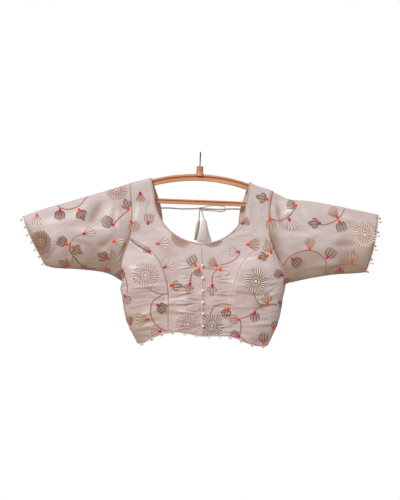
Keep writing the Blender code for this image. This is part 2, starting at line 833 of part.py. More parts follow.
def turned(name, centre, profile, material, segments=20, axis="Z"):
    """A closed turned solid from (radius, place along its axis) points."""
    turn = Matrix.Rotation(math.radians(90), 3, "X") if axis == "Y" else Matrix.Identity(3)
    rings = []
    for radius, height in profile:
        ring = []
        for segment in range(segments):
            angle = 2 * math.pi * segment / segments
            spoke = Vector((radius * math.cos(angle), radius * math.sin(angle), height))
            ring.append(centre + turn @ spoke)
        rings.append(ring)
    return ring_solid(name, rings, material)


def join_with(base, tools, operation):
    """Joins to, or cuts from, the base each tool, and hides the tools."""
    for number, tool in enumerate(tools):
        change = base.modifiers.new(f"{operation.lower()}_{number}", "BOOLEAN")
        change.operation = operation
        change.object = tool
        tool.hide_render = True
        tool.display_type = "WIRE"


def tilt_object(made):
    """Turns a piece of the hanger about the hook's top."""
    made.matrix_world = Matrix.Rotation(TILT, 4, "Y") @ made.matrix_world


def make_hanger(plastic, steel):
    """The moulded frame with its socket, and the steel hook that stands in it."""
    steps = 20
    arch_path = []
    for step in range(steps + 1):
        x = ARCH_HALF * (2 * step / steps - 1)
        arch_path.append(Vector((x, 0.0, ARCH_TOP - ARCH_HEIGHT / 2 - x * x / ARCH_DROP)))
    hanger = sweep("hanger", arch_path, bar_profile(ARCH_HEIGHT, ARCH_THICK), plastic)
    bar_path = [Vector((side * BAR_HALF, 0.0, BAR_Z)) for side in (-1, 1)]
    tools = [sweep("bar_tool", bar_path, bar_profile(BAR_HEIGHT, BAR_THICK), plastic)]
    half = END_THICK / 2
    rounded = (
        (END_RADIUS - 1.6, -half),
        (END_RADIUS, 1.6 - half),
        (END_RADIUS, half - 1.6),
        (END_RADIUS - 1.6, half),
    )
    for side in (-1, 1):
        centre = Vector((side * ARCH_HALF, 0.0, BAR_Z + 3.6))
        tools.append(turned(f"end_tool_{side}", centre, rounded, plastic, axis="Y"))
    socket_low = ARCH_TOP - 4.0 - SOCKET_TOP
    socket = (
        (SOCKET_RADII[0], socket_low),
        (SOCKET_RADII[0] - 0.8, socket_low + 6.0),
        (SOCKET_RADII[1], socket_low + 9.5),
        (SOCKET_RADII[1], -1.2),
        (SOCKET_RADII[1] - 1.2, 0.0),
    )
    tools.append(turned("socket_tool", Vector((0.0, 0.0, SOCKET_TOP)), socket, plastic))
    bore_depth = SOCKET_TOP - HOOK_STEM_END
    bore = turned(
        "bore_tool",
        Vector((0.0, 0.0, HOOK_STEM_END - 0.5)),
        ((SOCKET_BORE, 0.0), (SOCKET_BORE, bore_depth + 3.0)),
        plastic,
        12,
    )
    join_with(hanger, tools, "UNION")
    join_with(hanger, [bore], "DIFFERENCE")
    hook = make_cord("hook", hook_path(), WIRE_RADIUS, steel)
    for made in (hanger, *tools, bore, hook):
        tilt_object(made)


def hook_path():
    """The hook's wire: up the stem, out to one side, over the top and down the other."""
    loop = HOOK_INSIDE + WIRE_RADIUS
    centre = Vector((0.0, 0.0, -HOOK_INSIDE))
    path = [Vector((0.0, 0.0, HOOK_STEM_END)), Vector((0.0, 0.0, SOCKET_TOP - 1.0))]
    bend = [
        Vector((0.0, 0.0, SOCKET_TOP - 1.0)),
        Vector((0.0, 2.0, SOCKET_TOP + 3.0)),
        Vector((0.0, 10.5, SOCKET_TOP + 5.2)),
    ]
    path += smooth_path(bend, 4)[1:-1]
    steps = 20
    start, end = math.radians(-52), math.radians(200)
    for step in range(steps + 1):
        turn = start + (end - start) * step / steps
        path.append(centre + Vector((0.0, loop * math.cos(turn), loop * math.sin(turn))))
    return path


def tie_path(points, spacing=4.5):
    """A smooth tie's path, with points evenly spaced along it."""
    path = smooth_path(points, 12)
    length = sum((b - a).length for a, b in zip(path, path[1:]))
    steps = max(3, round(length / spacing))
    return [along(path, step / steps) for step in range(steps + 1)]


def make_back_tie(net, marks, cloth, cord_cloth):
    """The two halves of the tie, the knot, the bow's loop, and the tails with their tassels."""
    for hand, name in ((-1, "tie_right"), (1, "tie_left")):
        back_edge = [net.points[row[-1]] for row in marks[hand]["behind"][BACK_NECK_ROW:]]
        anchor = place_at_height(back_edge, TIE_HEIGHTS[hand])
        past_piping = 2 * PIPING_RADIUS + 4 * SEAM_GAP
        start = anchor + Vector((-hand * past_piping, -WALL / 2, 0.0))
        end = KNOT + Vector((hand * (KNOT_SIZE.x + SEAM_GAP), 0.0, 0.0))
        middle = start.lerp(end, 0.5) + Vector((0.0, 0.0, -2.2))
        make_cord(name, tie_path([start, middle, end]), TIE_RADIUS, cord_cloth)
    make_ball("tie_knot", KNOT, KNOT_SIZE, cord_cloth)
    make_cord("tie_bow", tie_path(bow_points()), TIE_RADIUS, cord_cloth)
    for name, x, y, z, turn, size, lean in TASSEL_TOPS:
        aside = math.copysign(2.2, y - KNOT.y)
        start = KNOT + Vector((math.copysign(2.2, x), aside, -KNOT_SIZE.z * 0.82 - SEAM_GAP))
        end = Vector((x, y, z + SEAM_GAP))
        near_end = end + Vector((0.0, 0.0, 5.0))
        middle = start.lerp(near_end, 0.5) + Vector((0.0, 0.0, -1.0))
        make_cord("tail_" + name, tie_path([start, middle, near_end, end], 4.0), TIE_RADIUS, cord_cloth)
        make_tassel("tassel_" + name, x, y, z, turn, size, lean, cloth)


def bow_points():
    """The bow's loop, out of the knot's back, along the tie and round again."""
    start = KNOT + Vector((3.0, KNOT_SIZE.y + SEAM_GAP - 0.6, 2.6))
    high = KNOT + Vector((BOW_LENGTH * 0.42, 7.5, BOW_HEIGHT * 0.55))
    near_end = KNOT + Vector((BOW_LENGTH * 0.86, 7.0, BOW_HEIGHT * 0.46))
    tip = KNOT + Vector((BOW_LENGTH, 6.5, 0.0))
    back_low = KNOT + Vector((BOW_LENGTH * 0.86, 6.0, -BOW_HEIGHT * 0.46))
    low = KNOT + Vector((BOW_LENGTH * 0.42, 6.0, -BOW_HEIGHT * 0.30))
    end = KNOT + Vector((4.8, KNOT_SIZE.y + SEAM_GAP - 0.6, -3.2))
    return [start, high, near_end, tip, back_low, low, end]


def place_at_height(line, height):
    """The point at a height on a line of points that rises."""
    for low, high in zip(line, line[1:]):
        if low.z <= height <= high.z:
            return low.lerp(high, (height - low.z) / (high.z - low.z))
    return line[-1]


def placket_faces(marks):
    """The faces of the strip along the fastened front's edge."""
    rows = marks[-1]["centre"][: FRONT_NECK_ROW + 1]
    columns = len(PLACKET_LINES)
    faces = []
    for low, high in zip(rows, rows[1:]):
        for k in range(columns):
            faces.append([high[k], high[k + 1], low[k + 1], low[k]])
    return faces


def stand_faces(marks):
    """The faces of the strip that lies inside both front edges."""
    faces = []
    under = [row[:2] for row in marks[-1]["centre"][:FRONT_NECK_ROW]]
    beside = [row[:2] for row in marks[1]["centre"][:FRONT_NECK_ROW]]
    for low, high in zip(under, under[1:]):
        faces.append([high[0], high[1], low[1], low[0]])
    for low, high in zip(beside, beside[1:]):
        faces.append([low[0], low[1], high[1], high[0]])
    return faces


def main():
    for item in list(bpy.data.objects):
        bpy.data.objects.remove(item)
    cloth = make_material("blush_cloth", (0.60, 0.49, 0.47), 0.75)
    tie_cloth = make_material("tie_cloth", (0.50, 0.41, 0.34), 0.7)
    pearl = make_material("pearl", (0.80, 0.70, 0.67), 0.25)
    plastic = make_material("tan_plastic", (0.66, 0.32, 0.17), 0.4)
    steel = make_material("hook_steel", (0.55, 0.56, 0.57), 0.3, 1.0)

    net, marks = cloth_net()
    normals = net.normals()
    for piece, faces in net.pieces.items():
        wall_object(piece, net.points, normals, faces, cloth)
    raised = PLACKET_WALL + SEAM_GAP
    wall_object(
        "placket", net.points, normals, placket_faces(marks), cloth, raised, PLACKET_WALL
    )
    sunk = -WALL - SEAM_GAP
    wall_object(
        "button_stand", net.points, normals, stand_faces(marks), cloth, sunk, PLACKET_WALL
    )
    make_piping("neck_piping", edge_frames(net, normals, neck_loop(marks)), cloth)
    hem = edge_frames(net, normals, hem_loop(marks))
    make_edging("hem_edging", hem, HEM_BEADS, HEM_BEAD_STEPS, pearl, closed=False)
    for hand, name in ((-1, "cuff_edging_right"), (1, "cuff_edging_left")):
        cuff = edge_frames(net, normals, marks[hand]["cuff"][:-1])
        make_edging(name, cuff, CUFF_BEADS[hand], CUFF_BEAD_STEPS, pearl, closed=True)
    opening = [net.points[row[0]] for row in marks[1]["centre"][: FRONT_NECK_ROW + 1]]
    for number, height in enumerate(BUTTON_HEIGHTS):
        place = place_at_height(opening, height)
        lift = BUTTON_RADIUS + raised + SEAM_GAP
        centre = place + Vector((1.0, -lift, 0.0))
        make_ball(f"button_{number + 1}", centre, [BUTTON_RADIUS] * 3, pearl, 6, 8)
    make_back_tie(net, marks, cloth, tie_cloth)
    make_hanger(plastic, steel)


main()
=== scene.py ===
# %% [markdown]
# # A choli blouse on its hanger
# A choli is a short, fitted blouse that is worn with a sari. This one is cut from pale, dusty pink silk
# with flowers embroidered all over it. It hangs on a moulded hanger, and is tied at the back with a cord.
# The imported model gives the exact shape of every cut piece. This lesson dresses that model: finer cloth
# with creases, sewn threads laid on the cloth, beads, cords, and a finish for each surface.

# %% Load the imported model
import json
import math

import bmesh
import bpy
import numpy as np
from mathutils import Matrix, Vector
from mathutils.bvhtree import BVHTree
from mathutils.kdtree import KDTree

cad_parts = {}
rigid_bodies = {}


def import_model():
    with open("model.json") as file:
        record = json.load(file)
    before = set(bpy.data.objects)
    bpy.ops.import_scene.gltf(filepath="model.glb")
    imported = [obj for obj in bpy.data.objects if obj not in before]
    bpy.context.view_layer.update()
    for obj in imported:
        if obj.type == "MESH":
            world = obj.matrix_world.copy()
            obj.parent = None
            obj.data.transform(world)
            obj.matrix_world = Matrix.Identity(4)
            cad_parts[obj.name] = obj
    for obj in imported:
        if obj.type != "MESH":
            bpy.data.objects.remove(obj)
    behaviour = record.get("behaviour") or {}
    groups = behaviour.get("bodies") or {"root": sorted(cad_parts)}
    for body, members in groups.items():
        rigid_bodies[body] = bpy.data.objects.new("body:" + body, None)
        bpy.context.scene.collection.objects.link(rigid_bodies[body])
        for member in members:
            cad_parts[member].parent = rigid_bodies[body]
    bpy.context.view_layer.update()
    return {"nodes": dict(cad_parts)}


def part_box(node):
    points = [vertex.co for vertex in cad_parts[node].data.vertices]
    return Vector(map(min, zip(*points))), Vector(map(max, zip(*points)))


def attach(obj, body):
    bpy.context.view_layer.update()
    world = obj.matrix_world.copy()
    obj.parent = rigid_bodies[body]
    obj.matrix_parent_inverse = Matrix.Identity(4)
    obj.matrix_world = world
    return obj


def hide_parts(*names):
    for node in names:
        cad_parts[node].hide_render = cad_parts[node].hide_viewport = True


for item in list(bpy.data.objects):
    bpy.data.objects.remove(item)
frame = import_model()
nodes = frame["nodes"]
MM = 0.001
print("cut pieces:", len(nodes))

# %% [markdown]
# ## The camera
# The photograph looks straight at the blouse from the front, from far enough away that near and far parts
# keep their sizes. A long lens at three metres does that. One pixel of the photograph covers two and a
# half millimetres of cloth, which also lets later cells place a flower by the pixel where it is seen.

# %% The camera
PHOTO_WIDTH, PHOTO_HEIGHT = 400, 500
PIXEL = 2.5 * MM
HOOK_PIXEL = (200.5, 153.0)
LENS, SENSOR = 85.0, 36.0


def spot(across, down):
    """The place, in metres, of one pixel of the photograph in the hanger's plane."""
    return (across - HOOK_PIXEL[0]) * PIXEL, (HOOK_PIXEL[1] - down) * PIXEL


def in_scene(name, data):
    """A new object in the scene, made of a camera, mesh, curve or lamp."""
    item = bpy.data.objects.new(name, data)
    bpy.context.scene.collection.objects.link(item)
    return item


camera = in_scene("camera", bpy.data.cameras.new("camera"))
camera.data.lens = LENS
camera.data.sensor_width = SENSOR
middle_x, middle_z = spot(PHOTO_WIDTH / 2, PHOTO_HEIGHT / 2)
camera.location = (middle_x, -PHOTO_HEIGHT * PIXEL * LENS / SENSOR, middle_z)
camera.rotation_euler = (math.radians(90.0), 0.0, 0.0)
bpy.context.scene.camera = camera
bpy.context.scene.view_settings.view_transform = "Standard"
print("the camera stands", round(-camera.location.y, 2), "m away")

# %% [markdown]
# ## Shader maths
# A finish is a graph of nodes, and sums are easier to read as sums. This small class wraps one socket, so
# that `1 - mask * 0.5` adds the Math nodes by itself. A second class adds any other node to a graph, and a
# third is the graph of one material.

# %% Shader maths
class Wire:
    """One output of a graph, which can be used in sums."""

    def __init__(self, graph, socket):
        self.graph, self.socket = graph, socket

    def maths(self, operation, *values):
        return self.graph.node("Math", {"operation": operation}, dict(enumerate(values)))

    def __add__(self, other):
        return self.maths("ADD", self, other)

    def __sub__(self, other):
        return self.maths("SUBTRACT", self, other)

    def __mul__(self, other):
        return self.maths("MULTIPLY", self, other)

    def __rsub__(self, other):
        return self.maths("SUBTRACT", other, self)

    __radd__ = __add__
    __rmul__ = __mul__

    def size(self):
        return self.maths("ABSOLUTE", self)

    def wave(self):
        return self.maths("SINE", self)

    def between(self, low, high):
        """0 below low, 1 above high, and a soft step from one to the other."""
        settings = {"interpolation_type": "SMOOTHSTEP"}
        return self.graph.node("MapRange", settings, {0: self, 1: low, 2: high})

    def band(self, *edges):
        """1 inside a band and 0 outside it, with a soft step at each side. Its edges are in mm."""
        low, full, ends, high = [edge * MM for edge in edges]
        return self.between(low, full) * (1.0 - self.between(ends, high))


class Graph:
    """A tree of nodes, a way to add a node to it, and the node that it ends in."""

    def __init__(self, tree, end):
        self.tree, self.end = tree, tree.nodes[end]

    def node(self, kind, settings, inputs, output=0):
        """Adds a node, with its settings first, and then the values or links of its sockets."""
        added = self.tree.nodes.new("ShaderNode" + kind)
        for setting, value in settings.items():
            setattr(added, setting, value)
        for socket, value in inputs.items():
            if isinstance(value, Wire):
                self.tree.links.new(value.socket, added.inputs[socket])
            else:
                added.inputs[socket].default_value = value
        return Wire(self, added.outputs[output])

    def feeds(self, socket, wire):
        self.tree.links.new(wire.socket, self.end.inputs[socket])


class Finish(Graph):
    """The graph of one material, which ends in its shader."""

    def __init__(self, name, colour, roughness, **constants):
        self.material = bpy.data.materials.new(name)
        self.material.use_nodes = True
        super().__init__(self.material.node_tree, "Principled BSDF")
        for socket, value in {"Base_Color": colour, "Roughness": roughness, **constants}.items():
            self.end.inputs[socket.replace("_", " ")].default_value = value
        self.place = self.node("TexCoord", {}, {}, "Object")

    def parts(self):
        """The three coordinates of the place on the object, in metres."""
        split = self.node("SeparateXYZ", {}, {0: self.place})
        return [Wire(self, output) for output in split.socket.node.outputs]

    def cloudy(self, scale, detail=3.0, stretch=(1.0, 1.0, 1.0)):
        """Soft noise, with so many patches to the metre, stretched along an axis by a small factor."""
        where = self.node("VectorMath", {"operation": "MULTIPLY"}, {0: self.place, 1: stretch})
        return self.node("TexNoise", {}, {"Vector": where, "Scale": scale, "Detail": detail})

    def painted(self, name):
        """A number that was stored at each point of the mesh."""
        return self.node("Attribute", {"attribute_name": name}, {}, "Fac")

    def mixed(self, share, first, second):
        """Two colours mixed by a share from 0 to 1."""
        return self.node("Mix", {"data_type": "RGBA"}, {0: share, 6: first, 7: second}, 2)

    def bumped(self, height, distance, strength=1.0, over=None):
        """A relief of that many metres, over another relief if one is given."""
        inputs = {"Height": height, "Distance": distance, "Strength": strength}
        if over is not None:
            inputs["Normal"] = over
        return self.node("Bump", {}, inputs)


def ink(red, green, blue):
    """A screen colour from 0 to 255 as the linear colour that a shader takes."""
    linear = [((part / 255 + 0.055) / 1.055) ** 2.4 for part in (red, green, blue)]
    return (*linear, 1.0)


print("a screen's middle grey is", round(ink(128, 128, 128)[0], 3), "of white's light")

# %% [markdown]
# ## The silk
# The blouse's silk is woven with threads of uneven thickness, so it shows fine slubs across, and it is a
# cool greyish pink that is warmer and darker in soft patches and at the waist. Its shading is made
# stronger with painted light: painted shade in its hollows, a painted highlight on its ridges, olive or
# brown painted shade where it turns down and low on the sleeves, a darker line along its seams that is
# partly the seam's own colour and partly painted shade, and a lighter painted fill where it faces inwards.
# An image could hold those places, but the mesh already knows them, so a later cell stores them as numbers
# at its points, and this finish mixes in one colour for each. A weave and a crumple go into the relief
# only, being finer than any mesh that is worth building.

# %% The silk
COOL_PINK, WARM_PINK, SLUB_PINK = ink(194, 178, 177), ink(188, 160, 153), ink(236, 226, 224)
# These colours are painted light, in order: painted shade in hollows, a painted highlight on ridges, olive
# painted shade where the cloth turns down, brown painted shade low on the sleeves, painted shade along seams
# over the seam's own darker line, and a lighter painted fill on inward faces.
POINT_SHADES = (  # the stored number, the most of the colour that it mixes in, and the colour
    ("hollow", 0.8, ink(158, 130, 118)),
    ("ridge", 0.7, ink(232, 220, 218)),
    ("turned_down_shade", 0.66, ink(138, 114, 86)),
    ("under_arm_shade", 0.72, ink(129, 97, 62)),
    ("seam_shade", 0.6, ink(148, 110, 96)),
    ("inside", 0.9, ink(216, 192, 178)),
)
THREADS_PER_METRE = 1700.0
WARM_BELOW, WARM_BESIDE = (0.2, 0.42), (0.06, 0.26)  # metres below the hook, and to either side of it
PATCH_SHARE, WAIST_SHARE, SLUB_SHARE = 0.35, 0.65, 0.2
CRUMPLE_RELIEF, SLUB_RELIEF, WEAVE_RELIEF = 1.6 * MM, 0.12 * MM, 0.05 * MM


def silk(name, cool=COOL_PINK, warm=WARM_PINK, painted=True):
    """Slubbed silk in two pinks, with the painted shade and light that were stored at the mesh's points."""
    finish = Finish(name, cool, 0.62, Sheen_Weight=0.2, Sheen_Roughness=0.4)
    x, _, z = finish.parts()
    patches = finish.cloudy(9.0).between(0.35, 0.7)
    at_waist = (z * -1.0).between(*WARM_BELOW) * (1.0 - x.size().between(*WARM_BESIDE))
    colour = finish.mixed(patches * PATCH_SHARE + at_waist * WAIST_SHARE, cool, warm)
    slubs = finish.cloudy(210.0, 4.0, (0.25, 1.0, 5.0)).between(0.38, 0.66)
    colour = finish.mixed(slubs * SLUB_SHARE, colour, SLUB_PINK)
    for number, most, tint in POINT_SHADES if painted else ():
        colour = finish.mixed(finish.painted(number) * most, colour, tint)
    weave = (x * THREADS_PER_METRE).wave() * (z * THREADS_PER_METRE).wave()
    relief = finish.bumped(finish.cloudy(75.0, 5.0, (0.7, 1.0, 1.5)), CRUMPLE_RELIEF, 0.7)
    relief = finish.bumped(slubs, SLUB_RELIEF, 1.0, relief)
    relief = finish.bumped(weave, WEAVE_RELIEF, 1.0, relief)
    finish.feeds("Base Color", colour)
    finish.feeds("Roughness", 0.55 + slubs * 0.14)
    finish.feeds("Normal", relief)
    return finish.material


blush_silk = silk("blush_silk")
print("finish:", blush_silk.name)

# %% [markdown]
# ## Finer cloth
# The cut pieces come as coarse, closed walls of cloth. Subdividing rounds their faces, and creased rims keep
# the cut edges where they are. A cloth simulation could drape them, but it would choose its own folds, and
# these are to lie where the photograph shows them. Two neighbours meet along a seam, so both have to bend
# in the same way: the creases are therefore one field in space, which moves every point by its place and
# never by its piece. The field fades out towards the side seams, where the front and the back meet.

# %% Smooth noise
CLOTH = (
    "back",
    "front_right",
    "front_left",
    "side_front_right",
    "side_front_left",
    "sleeve_right",
    "sleeve_left",
)


def scattered(column, row, seed):
    """A fixed number from -1 to 1 for each cell of a grid."""
    mixed = (column * 374761393 + row * 668265263 + seed * 974634777) & 0xFFFFFFFF
    mixed = ((mixed ^ (mixed >> 13)) * 1274126177) & 0xFFFFFFFF
    return ((mixed ^ (mixed >> 16)) & 0xFFFF) / 32767.5 - 1.0


def ripples(x, z, seed):
    """Smooth noise from -1 to 1 over a plane whose cells are one unit wide."""
    column, row = np.floor(x).astype(np.int64), np.floor(z).astype(np.int64)
    u, v = x - column, z - row
    u, v = u * u * (3 - 2 * u), v * v * (3 - 2 * v)
    low = scattered(column, row, seed) * (1 - u) + scattered(column + 1, row, seed) * u
    high = scattered(column, row + 1, seed) * (1 - u) + scattered(column + 1, row + 1, seed) * u
    return low * (1 - v) + high * v


def ramp(low, high, value):
    """0 up to low, 1 from high on, and a soft step between them."""
    share = np.clip((value - low) / (high - low), 0.0, 1.0)
    return share * share * (3 - 2 * share)


print("cloth pieces to dress:", len(CLOTH))

# %% [markdown]
# Creases are drawn as a table: where one starts and ends in the photograph's pixels, how many millimetres
# it stands out (less than nothing for a valley), and its half width in pixels. Drag creases fan out from a
# button or a seam that pulls the cloth, so those come from a small function that turns a fan into rows.

# %% The crease tables
FRONT_CREASES = [  # from across, from down, to across, to down, out in mm, half width in pixels
    (129, 239.5, 152, 254, -2.6, 0.9),
    (131, 243, 155, 259, 1.6, 1.2),
    (129, 239, 118, 259, -2.0, 0.9),
    (112, 249, 118.5, 259, -1.6, 0.9),
    (268.5, 233, 276, 252, -2.2, 1.0),
    (276, 252, 284, 276, -1.8, 1.0),
    (256, 201, 264, 216, 1.0, 0.8),
    (258, 203, 265, 219, -0.8, 0.9),
    (140, 200, 136, 222, 0.9, 2.2),
    (150, 196, 147, 218, -0.8, 2.0),
    (244, 196, 251, 222, 0.9, 2.0),
    (171, 232, 150, 228, 0.8, 1.6),
    (223, 240, 262, 228, 0.9, 1.5),
    (226, 236, 258, 221, -0.8, 1.5),
    (124, 289, 166, 283, 1.0, 1.4),
    (124, 294, 166, 290, -0.9, 1.3),
    (126, 301, 160, 299, 0.9, 1.3),
    (130, 309, 158, 303, -0.8, 1.2),
    (168, 300, 198, 296, 1.1, 1.3),
    (168, 305, 200, 303, -1.1, 1.2),
    (170, 312, 200, 309, 0.8, 1.3),
    (236, 262, 264, 256, 0.9, 1.3),
    (234, 272, 262, 270, -0.8, 1.2),
    (232, 283, 262, 287, 0.9, 1.3),
    (232, 292, 270, 296, -0.8, 1.3),
    (250, 300, 284, 291, 1.1, 1.5),
    (248, 309, 282, 303, -0.9, 1.4),
    (256, 318, 280, 314, 0.8, 1.4),
    (236, 326, 272, 322, 0.7, 1.5),
    (132, 330, 160, 322, 0.8, 1.6),
]
SLEEVE_CREASES = [
    (101, 200, 90, 226, -3.2, 5.0),
    (115, 199, 104, 224, 2.2, 4.0),
    (88, 206, 70, 222, 1.2, 4.0),
    (118, 200, 119, 236, 1.4, 2.4),
    (116, 228, 66, 232, 1.8, 4.5),
    (116, 236, 96, 250, -2.2, 3.4),
    (96, 246, 74, 240, -1.4, 3.0),
    (118, 258, 92, 244, 1.4, 2.2),
    (70, 218, 34, 226, 1.6, 4.2),
    (62, 240, 46, 262, -1.6, 3.2),
    (84, 250, 60, 266, 1.2, 3.0),
    (276, 200, 281, 226, -2.4, 2.8),
    (280, 217, 293, 209, 2.4, 2.8),
    (284, 198, 300, 226, 2.0, 4.2),
    (276, 226, 318, 236, -1.8, 3.2),
    (282, 236, 330, 232, 1.8, 3.8),
    (290, 250, 320, 240, -1.4, 3.0),
    (320, 208, 370, 226, 1.6, 4.0),
    (318, 244, 362, 244, -1.6, 3.6),
    (336, 232, 372, 236, 1.4, 3.0),
    (300, 268, 340, 262, 1.2, 3.0),
]
BUTTON_ROWS = (265.2, 277.4, 290.0, 301.0, 312.6, 325.0)


def fan(start, turns, reach, count, out, half, seed):
    """Rows for creases that spread from a place, over a range of turns in degrees."""
    draw = np.random.default_rng(seed)
    rows = []
    for step in range(count):
        turn = math.radians(turns[0] + (turns[1] - turns[0]) * (step + draw.uniform(0.2, 0.8)) / count)
        near, far = draw.uniform(0.0, 0.25) * reach, draw.uniform(0.6, 1.0) * reach
        ways = math.cos(turn), -math.sin(turn)
        rise = out * draw.uniform(0.6, 1.0) * (1 if step % 2 else -1)
        ends = [start[0] + ways[0] * near, start[1] + ways[1] * near]
        ends += [start[0] + ways[0] * far, start[1] + ways[1] * far]
        rows.append((*ends, rise, half * draw.uniform(0.8, 1.25)))
    return rows


for number, row in enumerate(BUTTON_ROWS):
    FRONT_CREASES += fan((200.5, row), (166, 198), 26, 5, 1.5, 0.85, 40 + number)
    FRONT_CREASES += fan((205.0, row + 3), (-10, 14), 32, 5, 1.2, 0.85, 60 + number)
SIDE_FANS = [  # start, turns, reach in pixels, how many, out in mm, half width in pixels, seed
    ((120, 268), (-42, 4), 34, 6, 1.0, 1.7, 80),
    ((287, 280), (176, 226), 34, 6, 0.9, 1.7, 81),
    ((131, 322), (-8, 50), 34, 5, 0.8, 1.5, 82),
    ((279, 325), (130, 190), 34, 5, 0.8, 1.5, 83),
]
BACK_FANS = [
    ((121, 262), (-50, 20), 60, 8, 1.1, 1.8, 90),
    ((285, 272), (160, 230), 60, 8, 1.1, 1.8, 91),
    ((200, 250), (200, 340), 60, 8, 0.9, 2.2, 92),
    ((131, 320), (-10, 40), 60, 6, 1.0, 2.0, 93),
    ((279, 322), (140, 190), 60, 6, 1.0, 2.0, 94),
]
FRONT_CREASES += [row for spread in SIDE_FANS for row in fan(*spread)]
BACK_CREASES = [row for spread in BACK_FANS for row in fan(*spread)]
print("creases:", len(FRONT_CREASES) + len(BACK_CREASES) + len(SLEEVE_CREASES))

# %% [markdown]
# The tables become heights. Each crease is a soft ridge or valley along its line, highest in its middle.
# Between the drawn ones, noise adds swells, drags and crumples, and more of them at the waist, where the
# cloth is loose. An image could hold the heights too, but a formula has no pixels and answers anywhere.

# %% One field of creases
# Each pair of lengths is where a change starts and where it is full, as ramp takes them.
FOLD_GAIN, TIP_SHARE = 1.6, 0.25
RIPPLE_CELLS = ((0.045, 0.04), (0.019, 0.016), (0.05, 0.0085), (0.011, 0.0075))  # their size in metres
WAIST_DOWN, WAIST_OUT = (-0.27, -0.38), (0.19, 0.23)
SIDE_FADE, SHOULDER_FADE, SHOULDER_CALM = (1.5 * MM, 10 * MM), (-0.13, -0.08), 0.7
SLEEVE_FROM, SLEEVE_BACK_SHARE = (0.16, 0.19), 0.8
FRONT_SEED, BACK_SEED = 5, 25


def crease_rise(rows, x, z):
    """The height, in metres, of a table's creases at each place."""
    rise = np.zeros_like(x)
    for across0, down0, across1, down1, out, half in rows:
        (x0, z0), (x1, z1) = spot(across0, down0), spot(across1, down1)
        run_x, run_z = x1 - x0, z1 - z0
        at = ((x - x0) * run_x + (z - z0) * run_z) / (run_x**2 + run_z**2)
        held = np.clip(at, 0.0, 1.0)
        away = np.hypot(x - x0 - run_x * held, z - z0 - run_z * held) / (half * PIXEL)
        along = TIP_SHARE + (1 - TIP_SHARE) * np.sin(np.pi * held)
        rise += FOLD_GAIN * out * MM * np.exp(-away * away) * along
    return rise


def soft_rise(x, z, seed):
    """Uneven swells and fine crumples, stronger at the waist than on the sleeves."""
    waist = ramp(*WAIST_DOWN, z) * (1 - ramp(*WAIST_OUT, np.abs(x)))
    noises = [ripples(x / wide, z / tall, seed + step) for step, (wide, tall) in enumerate(RIPPLE_CELLS)]
    swells = 1.5 * noises[0] + 0.7 * noises[1]
    drags = noises[2] * (0.25 + waist)
    crumples = (0.5 - np.abs(noises[3])) * (0.35 + 0.35 * waist)
    return (swells + drags + crumples) * MM


def rise_of(points):
    """How far the field of creases moves each point out from the body, in metres."""
    x, y, z = points.T
    free = ramp(*SIDE_FADE, np.abs(y)) * (1 - SHOULDER_CALM * ramp(*SHOULDER_FADE, z))
    arms = crease_rise(SLEEVE_CREASES, x, z) * ramp(*SLEEVE_FROM, np.abs(x))
    front = crease_rise(FRONT_CREASES, x, z) + arms + soft_rise(x, z, FRONT_SEED)
    back = crease_rise(BACK_CREASES, x, z) - arms * SLEEVE_BACK_SHARE + soft_rise(x, z, BACK_SEED)
    return np.where(y < 0, front, back) * free


def draped(points):
    """Points moved out or in by the field of creases."""
    moved = points.copy()
    moved[:, 1] += np.sign(points[:, 1]) * rise_of(points)
    return moved


middle_of_waist = np.array([[0.05, -0.03, -0.38]])
print("the field moves a point at the waist by", round(rise_of(middle_of_waist)[0] / MM, 2), "mm")

# %% [markdown]
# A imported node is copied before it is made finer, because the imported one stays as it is. Its doubled points
# are joined and its triangles turned back into larger faces first, since subdividing rounds a clean net of
# faces evenly, and a net of thin triangles badly. A sharp edge is marked to stay sharp.

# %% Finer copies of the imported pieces
SAME_POINT = 0.02 * MM
WIDEST_FOLD, WIDEST_SKEW = math.radians(30.0), math.radians(60.0)  # of two triangles that become one face


def read_points(mesh, what="co"):
    """The place of each point of a mesh, or its normal."""
    flat = np.empty(len(mesh.vertices) * 3, np.float32)
    mesh.vertices.foreach_get(what, flat)
    return flat.reshape(-1, 3).astype(float)


def put_points(mesh, points):
    mesh.vertices.foreach_set("co", points.astype(np.float32).ravel())
    mesh.update()


def mesh_of(shape, name):
    """The mesh of a shape that was being edited."""
    mesh = bpy.data.meshes.new(name)
    shape.to_mesh(mesh)
    shape.free()
    return mesh


def finer_copy(node, levels, rim=50.0):
    """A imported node's mesh with rounder faces, whose rims sharper than so many degrees stay."""
    rough = bmesh.new()
    rough.from_mesh(nodes[node].data)
    bmesh.ops.remove_doubles(rough, verts=rough.verts, dist=SAME_POINT)
    bmesh.ops.join_triangles(rough, faces=rough.faces, angle_face_threshold=WIDEST_FOLD,
                             angle_shape_threshold=WIDEST_SKEW)
    held = rough.edges.layers.float.new("crease_edge")
    for edge in rough.edges:
        if edge.calc_face_angle(0.0) > math.radians(rim):
            edge[held] = 1.0
    copy = in_scene(node + "_rough", mesh_of(rough, node + "_rough"))
    copy.modifiers.new("finer", "SUBSURF").levels = levels
    fine = bpy.data.meshes.new_from_object(copy.evaluated_get(bpy.context.evaluated_depsgraph_get()))
    bpy.data.objects.remove(copy)
    fine.materials.clear()
    return fine


def add_piece(name, mesh, material, slot, *stands_for):
    """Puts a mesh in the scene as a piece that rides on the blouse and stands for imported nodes."""
    mesh.name = name
    piece = in_scene(name, mesh)
    if material is not None:
        mesh.materials.append(material)
    mesh.polygons.foreach_set("use_smooth", np.ones(len(mesh.polygons), bool))
    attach(piece, "root")
    if stands_for:
        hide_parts(*stands_for)
    return piece


cloth_mesh = {node: finer_copy(node, 3) for node in CLOTH}
cloth_points = {node: read_points(mesh) for node, mesh in cloth_mesh.items()}
print("cloth points:", sum(len(points) for points in cloth_points.values()))

